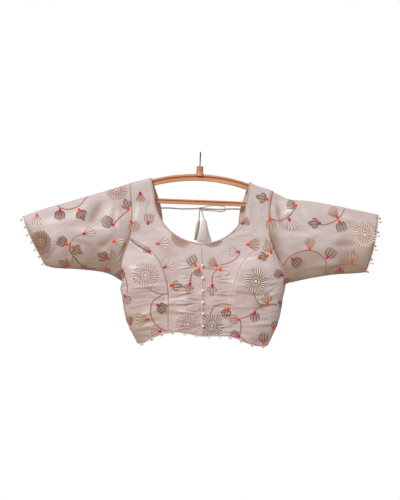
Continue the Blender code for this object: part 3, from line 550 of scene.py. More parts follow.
# %% [markdown]
# A seam has no node of its own. It is where the points of two pieces lie side by side, so those points are
# gathered here, before the cloth is creased. A tree of points finds a neighbour quickly, where comparing
# every point with every other would take minutes.

# %% The points along the seams
SEARCH_MARGIN, BESIDE = 2 * MM, 1.3 * MM


def tree_of(points):
    tree = KDTree(len(points))
    for number, point in enumerate(points):
        tree.insert(point, number)
    tree.balance()
    return tree


def nearest(tree, points):
    """The distance from each point to the tree's nearest one."""
    return np.array([tree.find(point)[2] for point in points])


def within(points, others):
    """The points inside the box that holds the others, with a small margin."""
    low, high = others.min(0) - SEARCH_MARGIN, others.max(0) + SEARCH_MARGIN
    return points[np.all((points > low) & (points < high), axis=1)]


def seam_points():
    """The points of every piece that lie right beside another piece, under both pieces' names."""
    found = {}
    for node, points in cloth_points.items():
        for other, others in cloth_points.items():
            if other == node or {node, other} == {"front_right", "front_left"}:
                continue
            inside = within(others, points)
            close = within(points, inside) if len(inside) else inside
            if len(close):
                found[node, other] = close[nearest(tree_of(inside), close) < BESIDE]
    return found


seams = seam_points()
seam_tree = tree_of(np.concatenate(list(seams.values())))
print("points along the seams:", sum(len(points) for points in seams.values()))

# %% [markdown]
# Each mesh point now gets its numbers of painted light: painted shade by how deep it lies in a hollow, a
# painted highlight by how high it stands on a ridge, painted shade, over the seam's own darker line, by how
# near it is to a seam, a lighter painted fill where it faces inwards, and olive or brown painted shade where
# the cloth turns down or lies low on a sleeve, under the arm. The lamps shade all of these as well, and the
# painted light makes them stronger. A seam also pulls the cloth in along its line, as a shallow channel, and
# its turnings raise a soft welt beside that.

# %% Dress the cloth
# A pair is where a painted shade starts and where it is full, but CORNER_SHADES are the right's and the left's.
SEAM_DEPTH, SEAM_REACH = 0.3 * MM, 1.5 * MM
WELT_RISE, WELT_AWAY, WELT_REACH = 0.5 * MM, 4.2 * MM, 1.7 * MM
FULL_SHADE, SLEEVE_SHADE_FROM, SLEEVE_EXTRA = 3.2 * MM, (0.165, 0.19), 0.35  # the rise shaded in full
SIDE_TURN, SIDES_DOWN, SIDE_SHARE = (0.55, 0.98), (-0.2, -0.3), 0.6
CORNERS_OUT, CORNERS_DOWN, CORNER_SHADES = (0.09, 0.16), (-0.35, -0.45), (1.5, 0.5)
ARMHOLE_OUT, ARMHOLE_DOWN = (0.155, 0.18), (-0.11, -0.16)
SEAM_SHADE_REACH, SEAM_SHADE_LEAST = 1.2 * MM, 0.25
UNEVEN_CELL, UNEVEN_SHARE, UNEVEN_SEED = 0.03, 0.35, 77
LOW_SIDE_OF_TUBE, TUBE_COLUMN, FAR = (0.40, 0.95), 6 * MM, 1e9
TUBE_PIECES = ("sleeve_right", "sleeve_left")


def store(mesh, name, values):
    layer = mesh.attributes.new(name, "FLOAT", "POINT")
    layer.data.foreach_set("value", values.astype(np.float32))


def share_down(points):
    """How far down its own column each point of a hanging tube lies, from 0 at the top to 1."""
    column = np.round(points[:, 0] / TUBE_COLUMN).astype(int)
    column -= column.min()
    top = np.full(column.max() + 1, -FAR)
    low = np.full(column.max() + 1, FAR)
    np.maximum.at(top, column, points[:, 2])
    np.minimum.at(low, column, points[:, 2])
    kernel = np.ones(5) / 5
    top = np.convolve(np.pad(top, 2, "edge"), kernel, "valid")[column]
    low = np.convolve(np.pad(low, 2, "edge"), kernel, "valid")[column]
    return np.clip((top - points[:, 2]) / (top - low), 0.0, 1.0)


def welt(away):
    """The height of the soft welt at some distance from a seam."""
    return WELT_RISE * np.exp(-(((away - WELT_AWAY) / WELT_REACH) ** 2))


def shade(mesh, under_arm_shade=0.0):
    """Stores at each point the numbers, from 0 to 1, of painted shade and light that the silk's finish reads.
    """
    points, normals = read_points(mesh), read_points(mesh, "normal")
    x, y, z = points.T
    out = np.abs(x)
    away = nearest(seam_tree, points)
    full = FULL_SHADE * (1 + SLEEVE_EXTRA * ramp(*SLEEVE_SHADE_FROM, out))
    rise = (rise_of(points) + welt(away)) / full
    # Painted shade in hollows and a painted highlight on ridges, by the height of the creases and welts.
    store(mesh, "hollow", ramp(0.1, 1.0, -rise))
    store(mesh, "ridge", ramp(0.06, 1.0, rise))
    # Painted shade along seams, over the seam's own darker line, full at the lower armhole.
    at_armhole = ramp(*ARMHOLE_OUT, out) * ramp(*ARMHOLE_DOWN, z)
    strength = SEAM_SHADE_LEAST + (1 - SEAM_SHADE_LEAST) * at_armhole
    store(mesh, "seam_shade", strength * np.exp(-((away / SEAM_SHADE_REACH) ** 2)))
    # A lighter, warmer painted fill on faces that turn inwards, where the inside lies in shadow.
    inwards = normals[:, 1] * np.where(y < 0, 1.0, -1.0)
    store(mesh, "inside", ramp(0.0, 0.35, inwards) * ramp(1.5 * MM, 5 * MM, np.abs(y)))
    # Painted olive shade where the cloth turns down, on the lower sides and the lower corners, more on the
    # right.
    aside = ramp(*SIDE_TURN, np.abs(normals[:, 0])) * ramp(*SIDES_DOWN, z)
    aside += np.where(x < 0, *CORNER_SHADES) * ramp(*CORNERS_OUT, out) * ramp(*CORNERS_DOWN, z)
    turned = ramp(0.05, 0.9, -normals[:, 2]) + SIDE_SHARE * aside
    store(mesh, "turned_down_shade", np.clip(turned, 0.0, 1.0))
    # Painted brown shade low on the sleeves, a little uneven.
    uneven = 1 + UNEVEN_SHARE * ripples(x / UNEVEN_CELL, z / UNEVEN_CELL, UNEVEN_SEED)
    store(mesh, "under_arm_shade", np.clip(under_arm_shade * uneven, 0.0, 1.0))


def plump(mesh, by):
    """Moves each point out along the surface's own direction there, by one length or one for each."""
    put_points(mesh, read_points(mesh) + read_points(mesh, "normal") * np.reshape(by, (-1, 1)))


def flat_area(mesh):
    """Half of a closed wall's area, which is the area of its cloth."""
    areas = np.empty(len(mesh.polygons), np.float32)
    mesh.polygons.foreach_get("area", areas)
    return float(areas.sum()) / 2


cloth_tree = tree_of(np.concatenate(list(cloth_points.values())))
cloth = {}
for node in CLOTH:
    mesh, points = cloth_mesh[node], cloth_points[node]
    away = nearest(seam_tree, points)
    outward = np.sign(points[:, 1]) * ramp(2 * MM, 8 * MM, np.abs(points[:, 1]))
    points[:, 1] += outward * (welt(away) - SEAM_DEPTH * np.exp(-((away / SEAM_REACH) ** 2)))
    put_points(mesh, draped(points))
    # The sleeves get brown painted shade towards their lower edges.
    shade(mesh, ramp(*LOW_SIDE_OF_TUBE, share_down(points)) if node in TUBE_PIECES else 0.0)
    cloth[node] = add_piece(node + "_silk", mesh, blush_silk, "cloth", node)
    print(node, "cloth area", round(flat_area(mesh), 3), "m2")

# %% [markdown]
# The placket, the stand under it and the neck's piping are narrow strips of the same cloth. They are dressed
# as the large pieces are. The piping is a cord inside a fold of silk, so it is swollen a little, and its
# silk is a deeper pink, as the binding looks in the photograph.

# %% The strips
PIPING_SWELL = 0.6 * MM
piping_silk = silk("piping_silk", ink(190, 156, 150), ink(176, 138, 130))
STRIPS = {  # the finish, how often it is subdivided, and how far it is swollen
    "placket": (blush_silk, 4, 0.0),
    "button_stand": (blush_silk, 2, 0.0),
    "neck_piping": (piping_silk, 2, PIPING_SWELL),
}
trim = {}
for node, (finish, levels, swell) in STRIPS.items():
    mesh = finer_copy(node, levels)
    plump(mesh, swell)
    put_points(mesh, draped(read_points(mesh)))
    shade(mesh)
    trim[node] = add_piece(node + "_silk", mesh, finish, "cloth", node)
print("strips:", ", ".join(trim))

# %% [markdown]
# ## Beads on the edges
# The hem and the cuffs carry a row of small beads. Each one hangs from the edge by a short stalk of thread.
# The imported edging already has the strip, the stalks and the beads in one piece; subdividing it makes the
# beads round. They are glassy and slightly pink. The six buttons are pearls, which are simplest as spheres
# that are a little flatter from front to back.

# %% The beaded edgings and the pearls
BUTTONS, PEARL_RADIUS, PEARL_DEPTH = 6, 3.0 * MM, 0.9
BEAD_PLUMP = {"hem_edging": 0.7 * MM, "cuff_edging_right": 1.2 * MM, "cuff_edging_left": 1.2 * MM}
BEAD_FROM = (2.2 * MM, 4.5 * MM)  # how far from the cloth the stalks end and the beads are full


def pearly(name, colour, warm):
    """A glossy bead with faint clouds in its colour."""
    finish = Finish(name, colour, 0.3, Coat_Weight=0.6, Coat_Roughness=0.12, Sheen_Weight=0.2)
    clouds = finish.cloudy(420.0, 2.0).between(0.3, 0.7)
    finish.feeds("Base Color", finish.mixed(clouds * 0.6, colour, warm))
    finish.feeds("Roughness", 0.22 + clouds * 0.2)
    finish.feeds("Normal", finish.bumped(clouds, 0.05 * MM))
    return finish.material


pink_bead = pearly("pink_bead", ink(226, 206, 204), ink(196, 168, 162))
pearl = pearly("pearl", ink(244, 234, 230), ink(226, 206, 204))
for node, by in BEAD_PLUMP.items():
    mesh = finer_copy(node, 2, 70.0)
    plump(mesh, by * ramp(*BEAD_FROM, nearest(cloth_tree, read_points(mesh))))
    put_points(mesh, draped(read_points(mesh)))
    trim[node] = add_piece(node + "_beads", mesh, pink_bead, "bead", node)

for number in range(1, BUTTONS + 1):
    node = f"button_{number}"
    low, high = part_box(node)
    shape = bmesh.new()
    bmesh.ops.create_uvsphere(shape, u_segments=28, v_segments=18, radius=PEARL_RADIUS)
    bmesh.ops.scale(shape, verts=shape.verts, vec=(1.0, PEARL_DEPTH, 1.0))
    bmesh.ops.translate(shape, verts=shape.verts, vec=(low + high) / 2)
    add_piece(node + "_pearl", mesh_of(shape, node), pearl, "pearl", node)
print("edgings:", len(BEAD_PLUMP), "and pearls:", BUTTONS)

# %% [markdown]
# ## The tie
# The dori is a thin tube of the same silk, turned inside out. One half leaves each side of the back neck;
# they meet in a small knot with one loop, and two tails hang from it, each with a cloth bell called a
# latkan. A curve with a round section is the simplest true cord: its own line is the cord's length.

# %% A cord and its silk
TIE_RADIUS, LOOP_RADIUS, TAIL_RADIUS = 1.75 * MM, 1.5 * MM, 1.4 * MM


def smooth_line(corners, steps=8):
    """A smooth line of points through corners."""
    ends = [corners[0] * 2 - corners[1], *corners, corners[-1] * 2 - corners[-2]]
    line = []
    for a, b, c, d in zip(ends, ends[1:], ends[2:], ends[3:]):
        for step in range(steps):
            t = step / steps
            line.append(((2 * b) + (c - a) * t + (2 * a - 5 * b + 4 * c - d) * t**2
                         + (3 * b - a - 3 * c + d) * t**3) / 2)
    return [*line, corners[-1]]


def cord_silk():
    """Cream silk with olive patches of painted shade placed by noise, and the slant of a turned tube's weave.
    """
    finish = Finish("tie_silk", ink(210, 196, 182), 0.5, Sheen_Weight=0.3)
    x, y, z = finish.parts()
    # The olive patches are painted shade, placed by noise over the cream.
    patches = finish.cloudy(90.0).between(0.4, 0.75)
    colour = finish.mixed(patches * 0.8, ink(214, 200, 186), ink(168, 152, 120))
    twill = ((x + z) * 3200.0 + y * 1500.0).wave()
    finish.feeds("Base Color", colour)
    finish.feeds("Roughness", 0.42 + patches * 0.2)
    finish.feeds("Normal", finish.bumped(twill, 0.12 * MM))
    return finish.material


def add_cord(name, corners, node, radius):
    """A round cord through corners, which stands for a packed one, and the cord's length."""
    data = bpy.data.curves.new(name, "CURVE")
    data.dimensions = "3D"
    data.bevel_depth = radius
    data.bevel_resolution = 4
    data.use_fill_caps = True
    line = smooth_line(corners)
    spline = data.splines.new("POLY")
    spline.points.add(len(line) - 1)
    for point, place in zip(spline.points, line):
        point.co = (*place, 1.0)
    spline.use_smooth = True
    data.materials.append(tie_silk)
    piece = in_scene(name, data)
    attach(piece, "root")
    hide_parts(node)
    return piece, sum((b - a).length for a, b in zip(line, line[1:]))


tie_silk = cord_silk()
print("finish:", tie_silk.name)

# %% [markdown]
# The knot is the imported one, made finer, with shallow waves drawn over it where the cord's turns lie. Each
# half of the tie starts inside the neck's piping and sags a little on its way to the knot, being nearly
# straight where the cloth pulls it. The loop leaves the knot and comes back into it.

# %% The knot, the two halves and the loop
KNOT = Vector((0.5, 21.0, -138.5)) * MM
KNOT_SIZE = Vector((5.2, 4.4, 4.6)) * MM
TURN_RELIEF = 0.10
SAGS = ((0.2, 1.4 * MM), (0.55, 2.2 * MM))  # the share of the way, and how far the cord hangs down there
END_DEPTH, BACK_OF_NECK, INTO_KNOT = 0.6 * MM, 5 * MM, 0.7
LOOP = ((3.0, 3.4, 2.6), (26.5, 7.5, 8.2), (54.0, 7.0, 6.9), (63.0, 6.5, 0.0), (54.0, 6.0, -6.9),
        (26.5, 6.0, -4.5), (4.8, 3.4, -3.2))


def outer_end(node, side):
    """The middle of a packed cord's end that lies furthest to one side."""
    points = read_points(nodes[node].data)
    reach = points[:, 0] * side
    return Vector(points[reach > reach.max() - END_DEPTH].mean(0))


knot_mesh = finer_copy("tie_knot", 3, 180.0)
knot_points = read_points(knot_mesh)
from_middle = knot_points - np.array(KNOT)
across = from_middle / np.array(KNOT_SIZE)
turns = np.sin(across[:, 0] * 5.0 + across[:, 2] * 7.0)
put_points(knot_mesh, knot_points + from_middle * (TURN_RELIEF * turns)[:, None])
knot = add_piece("tie_knot_silk", knot_mesh, tie_silk, "tie", "tie_knot")
piping_points = read_points(trim["neck_piping"].data)
piping_tree = tree_of(piping_points[piping_points[:, 1] > BACK_OF_NECK])
for side, node in ((-1, "tie_right"), (1, "tie_left")):
    leaves = outer_end(node, side)
    start = piping_tree.find(leaves)[0]
    end = KNOT + Vector((side * KNOT_SIZE.x * INTO_KNOT, 0.0, 0.0))
    sags = [leaves.lerp(end, share) - Vector((0.0, 0.0, down)) for share, down in SAGS]
    piece, length = add_cord(node + "_cord", [start, *sags, end], node, TIE_RADIUS)
    print(node, "is", round(length, 3), "m long")

loop_line = [KNOT + Vector(corner) * MM for corner in LOOP]
loop, loop_length = add_cord("tie_bow_cord", loop_line, "tie_bow", LOOP_RADIUS)
print("the bow's loop is", round(loop_length, 3), "m long")

# %% [markdown]
# A latkan is a square of the silk gathered to a cord's end and padded, so it flares into a bell with soft
# pleats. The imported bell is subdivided, and the pleats are drawn by turning round its axis: they are
# deepest at the lower edge and die out at the gathered top.

# %% The latkans
PLEATS, PLEAT_DEPTH = 6, 0.05
TAIL_ENDS = {"front": Vector((9.2, 17.0, -166.0)) * MM, "rear": Vector((-4.0, 37.0, -168.0)) * MM}
TAIL_ASIDE, TAIL_SAG, TAIL_INSIDE = 2.2 * MM, 1.0 * MM, 9.0 * MM
LATKAN_SILK = {
    "front": silk("latkan_silk", ink(220, 206, 206), ink(206, 190, 186), painted=False),
    "rear": silk("latkan_shaded_silk", ink(186, 172, 156), ink(150, 134, 106), painted=False),
}
for number, (name, top) in enumerate(TAIL_ENDS.items()):
    node = "tassel_" + name
    mesh = finer_copy(node, 3)
    points = read_points(mesh)
    low, high = points.min(0), points.max(0)
    down = np.clip((high[2] - points[:, 2]) / (high[2] - low[2]), 0.0, 1.0)
    centre = np.array(top.xy)
    spoke = points[:, :2] - centre
    turn = np.arctan2(spoke[:, 1], spoke[:, 0])
    pleat = 1 + PLEAT_DEPTH * np.sin(turn * PLEATS + 2 * number) * ramp(0.1, 0.9, down)
    points[:, :2] = centre + spoke * pleat[:, None]
    put_points(mesh, points)
    bell = add_piece(node + "_silk", mesh, LATKAN_SILK[name], "cloth", node)
    start = KNOT + Vector((math.copysign(TAIL_ASIDE, top.x), 0.0, -KNOT_SIZE.z / 2))
    halfway = start.lerp(top, 0.5) - Vector((0.0, 0.0, TAIL_SAG))
    inside = top - Vector((0.0, 0.0, TAIL_INSIDE))
    tail, length = add_cord(f"tail_{name}_cord", [start, halfway, top, inside], "tail_" + name, TAIL_RADIUS)
    print("tail", name, "is", round(length, 3), "m long")

# %% [markdown]
# ## The hanger and its hook
# The hanger is moulded in tan plastic, with a groove along each bar. Both keep their imported shapes. A
# small bevel rounds the moulding's edges. The grooves and the gaps between the collar's ribs get painted
# brown shade. An image could darken the grooves, but they follow simple lines, so the finish finds them
# by a point's height above each bar's own line and by how far it lies from the hanger's middle plane. The
# hook is plated steel wire, darker towards its top.

# %% Plastic and steel
HANGER_TILT = math.radians(2.2)
ARCH_TOP, ARCH_BEND, BAR_HEIGHT = -61.4 * MM, 1.25, -123.5 * MM
ARCH_GROOVE, BAR_GROOVE = (-0.8, 0.6, 3.6, 4.8), (-0.4, 0.8, 3.0, 4.2)  # mm above each line
FACE_BAND = (1.5, 2.2, 4.6, 4.8)  # mm to either side of the middle plane
COLLAR_HEIGHTS, RIBS = (-52.0 * MM, -49.0 * MM), 1450.0
GROOVE_SHADE = ink(134, 72, 46)
DARKENING_MIDDLE, DARKENING_REACH = -14.0 * MM, 10.0 * MM


def plastic():
    """Tan plastic, faintly streaked, with painted shade in its grooves and between the collar's ribs."""
    finish = Finish("tan_plastic", ink(212, 150, 108), 0.38, Coat_Weight=0.15, Coat_Roughness=0.3)
    x, y, z = finish.parts()
    streaks = finish.cloudy(60.0, 4.0, (0.12, 1.0, 1.6)).between(0.3, 0.72)
    colour = finish.mixed(streaks, ink(204, 140, 98), ink(222, 162, 120))
    level = z + x * math.tan(HANGER_TILT)
    in_arch = (level - (ARCH_TOP - x * x * ARCH_BEND)).band(*ARCH_GROOVE)
    in_bar = (level - BAR_HEIGHT).band(*BAR_GROOVE)
    grooves = (in_arch + in_bar) * y.size().band(*FACE_BAND)
    # Painted brown shade in the grooves and between the collar's ribs.
    colour = finish.mixed(grooves * 0.72, colour, GROOVE_SHADE)
    ribs = (x * RIBS).wave() * level.between(*COLLAR_HEIGHTS)
    colour = finish.mixed(ribs.between(-0.2, 0.8) * 0.7, colour, GROOVE_SHADE)
    finish.feeds("Base Color", colour)
    finish.feeds("Roughness", 0.32 + streaks * 0.16)
    finish.feeds("Normal", finish.bumped(finish.cloudy(500.0), 0.04 * MM))
    return finish.material


def steel():
    """Plated wire in two greys, darker above a height, with fine scuffs in its gloss."""
    finish = Finish("hook_steel", ink(120, 124, 128), 0.4, Metallic=0.35)
    darker_above = (finish.parts()[2] - DARKENING_MIDDLE).between(-DARKENING_REACH, DARKENING_REACH)
    finish.feeds("Base Color", finish.mixed(darker_above, ink(118, 128, 130), ink(58, 58, 62)))
    finish.feeds("Roughness", 0.22 + finish.cloudy(900.0) * 0.2)
    return finish.material


for node, finish in (("hanger", plastic()), ("hook", steel())):
    part = nodes[node]
    part.data.materials.clear()
    part.data.materials.append(finish)
rounded = nodes["hanger"].modifiers.new("rounded", "BEVEL")
rounded.width, rounded.segments = 0.5 * MM, 2
rounded.limit_method, rounded.angle_limit = "ANGLE", math.radians(38.0)
print("hanger and hook keep their packed shapes")

# %% [markdown]
# ## The embroidery
# The flowers are machine sewn: each leaf and ray is a raised line of stitches with a browner outline. A
# thread is modelled as a narrow strip with a raised middle, drawn on the flat and then dropped onto the
# cloth along the view, front or back, so it follows every crease. A flower is only a rule with a centre, a
# size and a turn, so the same few rules dress the whole blouse.

# %% The threads' colours
THREADS = {  # the thread's colour, the deeper colour between its stitches, and its sheen
    "brown": ((110, 72, 50), (78, 46, 30), 0.1),
    "fawn": ((158, 116, 90), (124, 86, 62), 0.1),
    "tan": ((172, 140, 118), (142, 110, 90), 0.1),
    "sand": ((192, 164, 146), (164, 134, 116), 0.1),
    "blush": ((208, 190, 184), (188, 166, 158), 0.1),
    "pale": ((228, 214, 204), (206, 184, 168), 0.1),
    "orange": ((238, 66, 0), (210, 42, 0), 0.0),
    "magenta": ((194, 0, 112), (152, 0, 80), 0.0),
    # painted shade: the seam colour is the darker line of a seam's fold
    "seam": ((178, 146, 136), (156, 122, 112), 0.1),
    "rose": ((162, 112, 100), (130, 82, 70), 0.1),
}
STITCHES_PER_METRE, STITCH_SLANT = 2600.0, 0.6


def thread(tone):
    """Thread whose slanted stitches show as fine bands of its two colours."""
    colour, deep, sheen = THREADS[tone]
    finish = Finish(tone + "_thread", ink(*colour), 0.5, Sheen_Weight=sheen, Sheen_Roughness=0.35)
    x, _, z = finish.parts()
    stitches = ((x + z * STITCH_SLANT) * STITCHES_PER_METRE).wave() * 0.5 + 0.5
    finish.feeds("Base Color", finish.mixed(stitches * 0.5, ink(*colour), ink(*deep)))
    finish.feeds("Roughness", 0.4 + stitches * 0.2)
    finish.feeds("Normal", finish.bumped(stitches, 0.15 * MM))
    return finish.material


thread_finishes = [thread(tone) for tone in THREADS]
thread_order = list(THREADS)
print("threads:", ", ".join(thread_order))

# %% [markdown]
# Sewing needs to know where the cloth is. A ray sent along the view, as a needle would come, finds the cloth
# under each point of a line, and one that meets a steep edge or nothing is tried again a little aside. Each
# strip is four points across, two sunk in the cloth and two raised. That is far lighter than a tube, and at
# this size it looks as round.

# %% Sewing onto the cloth
SUNK, SIGHT, FLAT_TOP = 0.18 * MM, 0.5, 0.4
WIDEST_GAP, BEHIND_MIDDLE = 9 * MM, -1.0 * MM
NUDGES = ((0.0, 0.0), (0.5, 0.0), (-0.5, 0.0), (0.0, 0.5), (0.0, -0.5), (1.1, 0.0), (-1.1, 0.0))

ground_points, ground_faces, ground_piece = [], [], []
for piece in [*cloth.values(), trim["placket"]]:
    base = len(ground_points)
    ground_points += [vert.co for vert in piece.data.vertices]
    for face in piece.data.polygons:
        ground_faces.append([base + corner for corner in face.vertices])
        ground_piece.append(piece.name.removesuffix("_silk"))
ground = BVHTree.FromPolygons(ground_points, ground_faces)


class Sewing:
    """Collects the threads on one side of the blouse: -1 is the front, and 1 the back."""

    def __init__(self, side, facing=0.12):
        self.side, self.facing = side, facing
        self.points, self.faces, self.tones = [], [], []

    def touch(self, x, z):
        """Where a needle that comes along the view meets the cloth, and which way the cloth faces."""
        for aside, above in NUDGES:
            start = Vector((x + aside * MM, self.side * SIGHT, z + above * MM))
            place, normal, face, _ = ground.ray_cast(start, Vector((0.0, -self.side, 0.0)))
            if place is None or normal.y * self.side < self.facing or place.y * self.side < BEHIND_MIDDLE:
                continue
            if (ground_piece[face] == "back") == (self.side > 0) or "sleeve" in ground_piece[face]:
                return place, normal
        return None

    def strip(self, line, halves, height, tone):
        """A raised strip along a line of flat points, with its half width at each."""
        run = []
        for (x, z), half in zip(line, halves):
            met = self.touch(x, z)
            if met is None or (run and (met[0] - run[-1][0]).length > WIDEST_GAP):
                self.lay(run, height, tone)
                run = []
            if met is not None:
                run.append((*met, half))
        self.lay(run, height, tone)

    def lay(self, run, height, tone):
        """Lays one stretch of strip, which bridges narrow dips as a stiff line of stitches does."""
        if len(run) < 2:
            return
        first = len(self.points)
        for number, (place, normal, half) in enumerate(run):
            before, after = run[max(number - 1, 0)], run[min(number + 1, len(run) - 1)]
            bridge = (before[0].y + after[0].y) / 2
            outer = max(place.y * self.side, bridge * self.side) * self.side
            place = Vector((place.x, outer, place.z))
            normal = (before[1] + 2 * normal + after[1]).normalized()
            across = normal.cross(after[0] - before[0]).normalized()
            for share, rise in ((-1.0, -SUNK), (-FLAT_TOP, height), (FLAT_TOP, height), (1.0, -SUNK)):
                self.points.append(place + across * half * share + normal * rise)
        for number in range(len(run) - 1):
            for a in range(first + number * 4, first + number * 4 + 3):
                self.faces.append((a, a + 1, a + 5, a + 4))
                self.tones.append(thread_order.index(tone))

    def piece(self, name):
        mesh = bpy.data.meshes.new(name)
        mesh.from_pydata(self.points, [], self.faces)
        for finish in thread_finishes:
            mesh.materials.append(finish)
        mesh.polygons.foreach_set("material_index", self.tones)
        mesh.update()
        return add_piece(name, mesh, None, "cloth")


print("cloth faces to sew on:", len(ground_faces))

# %% [markdown]
# Three rules draw every flower. A sunburst is a ring of petals with darker lines between, round a small
# double ring. A bud is a bright drop with a leaf of long petals that run out from it. A stem winds through a
# few places. Small seeded differences in turn and length keep the flowers from looking stamped.

# %% Stitches, sunbursts and stems
PETALS, PETAL_POINTS = 26, 9
PETAL_FROM, PETAL_TO, PETAL_BEND, PETAL_FILL = 0.34, 0.97, 0.22, 0.66
SUNBURST_RINGS, RING_STEPS, RING_HALF = (0.29, 0.20, 0.11, 0.04), 16, 1.2 * MM
LINE_HALF = {"brown": 1.05 * MM, "fawn": 0.85 * MM}
LINE_HEIGHT, PETAL_HEIGHT, STITCH_HEIGHT, STEM_HEIGHT = 0.6 * MM, 0.4 * MM, 0.5 * MM, 0.45 * MM
KNOT_HALVES, RAY_DOT, LEAF_DOT = (0.3, 0.85, 1.0, 0.85, 0.3), 1.1 * MM, 1.0 * MM
STEM_HALF, FOLD_SHADE_HALF = 1.75 * MM, 1.2 * MM
wander = np.random.default_rng(12)


def knot_stitch(sewing, x, z, size, tone):
    """A small raised dot."""
    line = [(x, z + size * step / 2) for step in (-2, -1, 0, 1, 2)]
    sewing.strip(line, [size * part for part in KNOT_HALVES], STITCH_HEIGHT, tone)


def petal(sewing, line, halves, tone, height):
    """One line of stitches, with a blunt end."""
    sewing.strip(line, [*halves[:-1], halves[-1] / 2], height, tone)


def sunburst(sewing, across, down, wide, tall, edge, middle):
    """A round flower: a ring of long petals with darker lines between, about a small double ring."""
    x, z = spot(across, down)

    def on_oval(turn, out):
        return x + math.cos(turn) * out * wide * PIXEL, z + math.sin(turn) * out * tall * PIXEL

    for number in range(2 * PETALS):
        turn = math.pi * number / PETALS
        reach = PETAL_TO + wander.uniform(-0.05, 0.05)
        shares = [step / (PETAL_POINTS - 1) for step in range(PETAL_POINTS)]
        outs = [PETAL_FROM + (reach - PETAL_FROM) * share for share in shares]
        line = [on_oval(turn + PETAL_BEND * share, out) for share, out in zip(shares, outs)]
        if number % 2:
            petal(sewing, line, [LINE_HALF[edge]] * PETAL_POINTS, edge, LINE_HEIGHT)
            knot_stitch(sewing, *line[-1], RAY_DOT, edge)
        else:
            halves = [out * tall * PIXEL * math.pi / PETALS * PETAL_FILL for out in outs]
            petal(sewing, line, halves, middle, PETAL_HEIGHT)
    for number, ring in enumerate(SUNBURST_RINGS):
        line = [on_oval(math.tau * step / RING_STEPS, ring) for step in range(RING_STEPS + 1)]
        sewing.strip(line, [RING_HALF] * len(line), STITCH_HEIGHT, edge if number == 1 else middle)


def stem(sewing, corners, tone, half=STEM_HALF):
    """A winding stem through places given in the photograph's pixels."""
    line = [point.xy for point in smooth_line([Vector((*spot(*corner), 0.0)) for corner in corners])]
    sewing.strip(line, [half] * len(line), STEM_HEIGHT, tone)


print("lines and petals in a sunburst:", 2 * PETALS)

# %% [markdown]
# A bud's leaf has one of three outlines: pointed, blunt or opening like a fan. Its lines and petals share
# one rule for how far they stand aside of the leaf's middle, so they fill the outline without overlapping.

# %% Buds
ACCENT_LENGTH, ACCENT_BACK, ACCENT_HEIGHT = 11.0 * MM, 0.32, 1.0 * MM
ACCENT_HALVES = (1.6, 4.2, 4.4, 3.8, 2.9, 1.8, 0.5)
LEAF_GROWTH, LEAF_FROM, WIDEST_AT = 1.08, 0.12, 0.45
LEAVES = {"pointed": (7, 0.42), "blunt": (7, 0.14), "open": (9, 0.26)}  # its lines, and its rounded end
LEAF_TONES = {  # the lines, the petals between them, and the half width of a line in mm
    "deep": ("brown", "fawn", 1.5),
    "dark": ("brown", "tan", 1.25),
    "soft": ("brown", "sand", 1.15),
    "mid": ("fawn", "sand", 1.05),
    "pale": ("tan", "pale", 0.8),
}


def arm(x, z, turn, reach):
    """The place that lies so far from another one in one direction."""
    return x + math.cos(turn) * reach, z + math.sin(turn) * reach


def leaf_aside(shape, share):
    """How far a leaf's outer lines stand off its middle line, as a share of its length."""
    if shape == "pointed":
        narrowed = 1.0 - 0.6 * max(0.0, share - WIDEST_AT) / (1.0 - WIDEST_AT)
        return 0.42 * math.sin(math.pi / 2 * min(1.0, share / WIDEST_AT)) * narrowed
    if shape == "blunt":
        return 0.44 * math.sin(math.pi / 2 * min(1.0, (share + 0.06) / 0.5))
    return 0.12 + 0.52 * share


def bud(sewing, across, down, degrees, accent, tone, shape, pixels):
    """A bright drop with a leaf of long petals, and darker lines between, that run out from it."""
    x, z = spot(across, down)
    size = pixels * PIXEL * LEAF_GROWTH
    way = math.radians(degrees + wander.uniform(-5, 5))
    edge, middle, line_half = LEAF_TONES[tone]
    lines, rounding = LEAVES[shape]
    for number in range(lines):
        lean = 2.0 * number / (lines - 1) - 1.0
        reach = 1.0 - rounding * lean * lean + wander.uniform(-0.06, 0.06)
        line, rooms = [], []
        for step in range(PETAL_POINTS):
            share = LEAF_FROM + (reach - LEAF_FROM) * step / (PETAL_POINTS - 1)
            aside = leaf_aside(shape, share) * size
            line.append(arm(*arm(x, z, way, size * share), way + math.pi / 2, lean * aside))
            rooms.append(aside / (lines - 1))
        if number % 2:
            petal(sewing, line, [room * 1.1 for room in rooms], middle, PETAL_HEIGHT)
        else:
            petal(sewing, line, [min(line_half * MM, room) for room in rooms], edge, LINE_HEIGHT)
        knot_stitch(sewing, *line[-1], LEAF_DOT, edge)
    last = len(ACCENT_HALVES) - 1
    line = [arm(x, z, way, ACCENT_LENGTH * (step / last - ACCENT_BACK)) for step in range(last + 1)]
    sewing.strip(line, [half * MM for half in ACCENT_HALVES], ACCENT_HEIGHT, accent)


print("leaf shapes:", ", ".join(LEAVES))

# %% [markdown]
# The layout is a table of places, so moving a flower is a matter of one number. It is a common, scattered
# floral pattern, with stems that join a few of the flowers. Three short brown lines beside the seams at the
# bust and under the arm are painted shade, where folds lie in shadow, and are sewn as narrow stems.

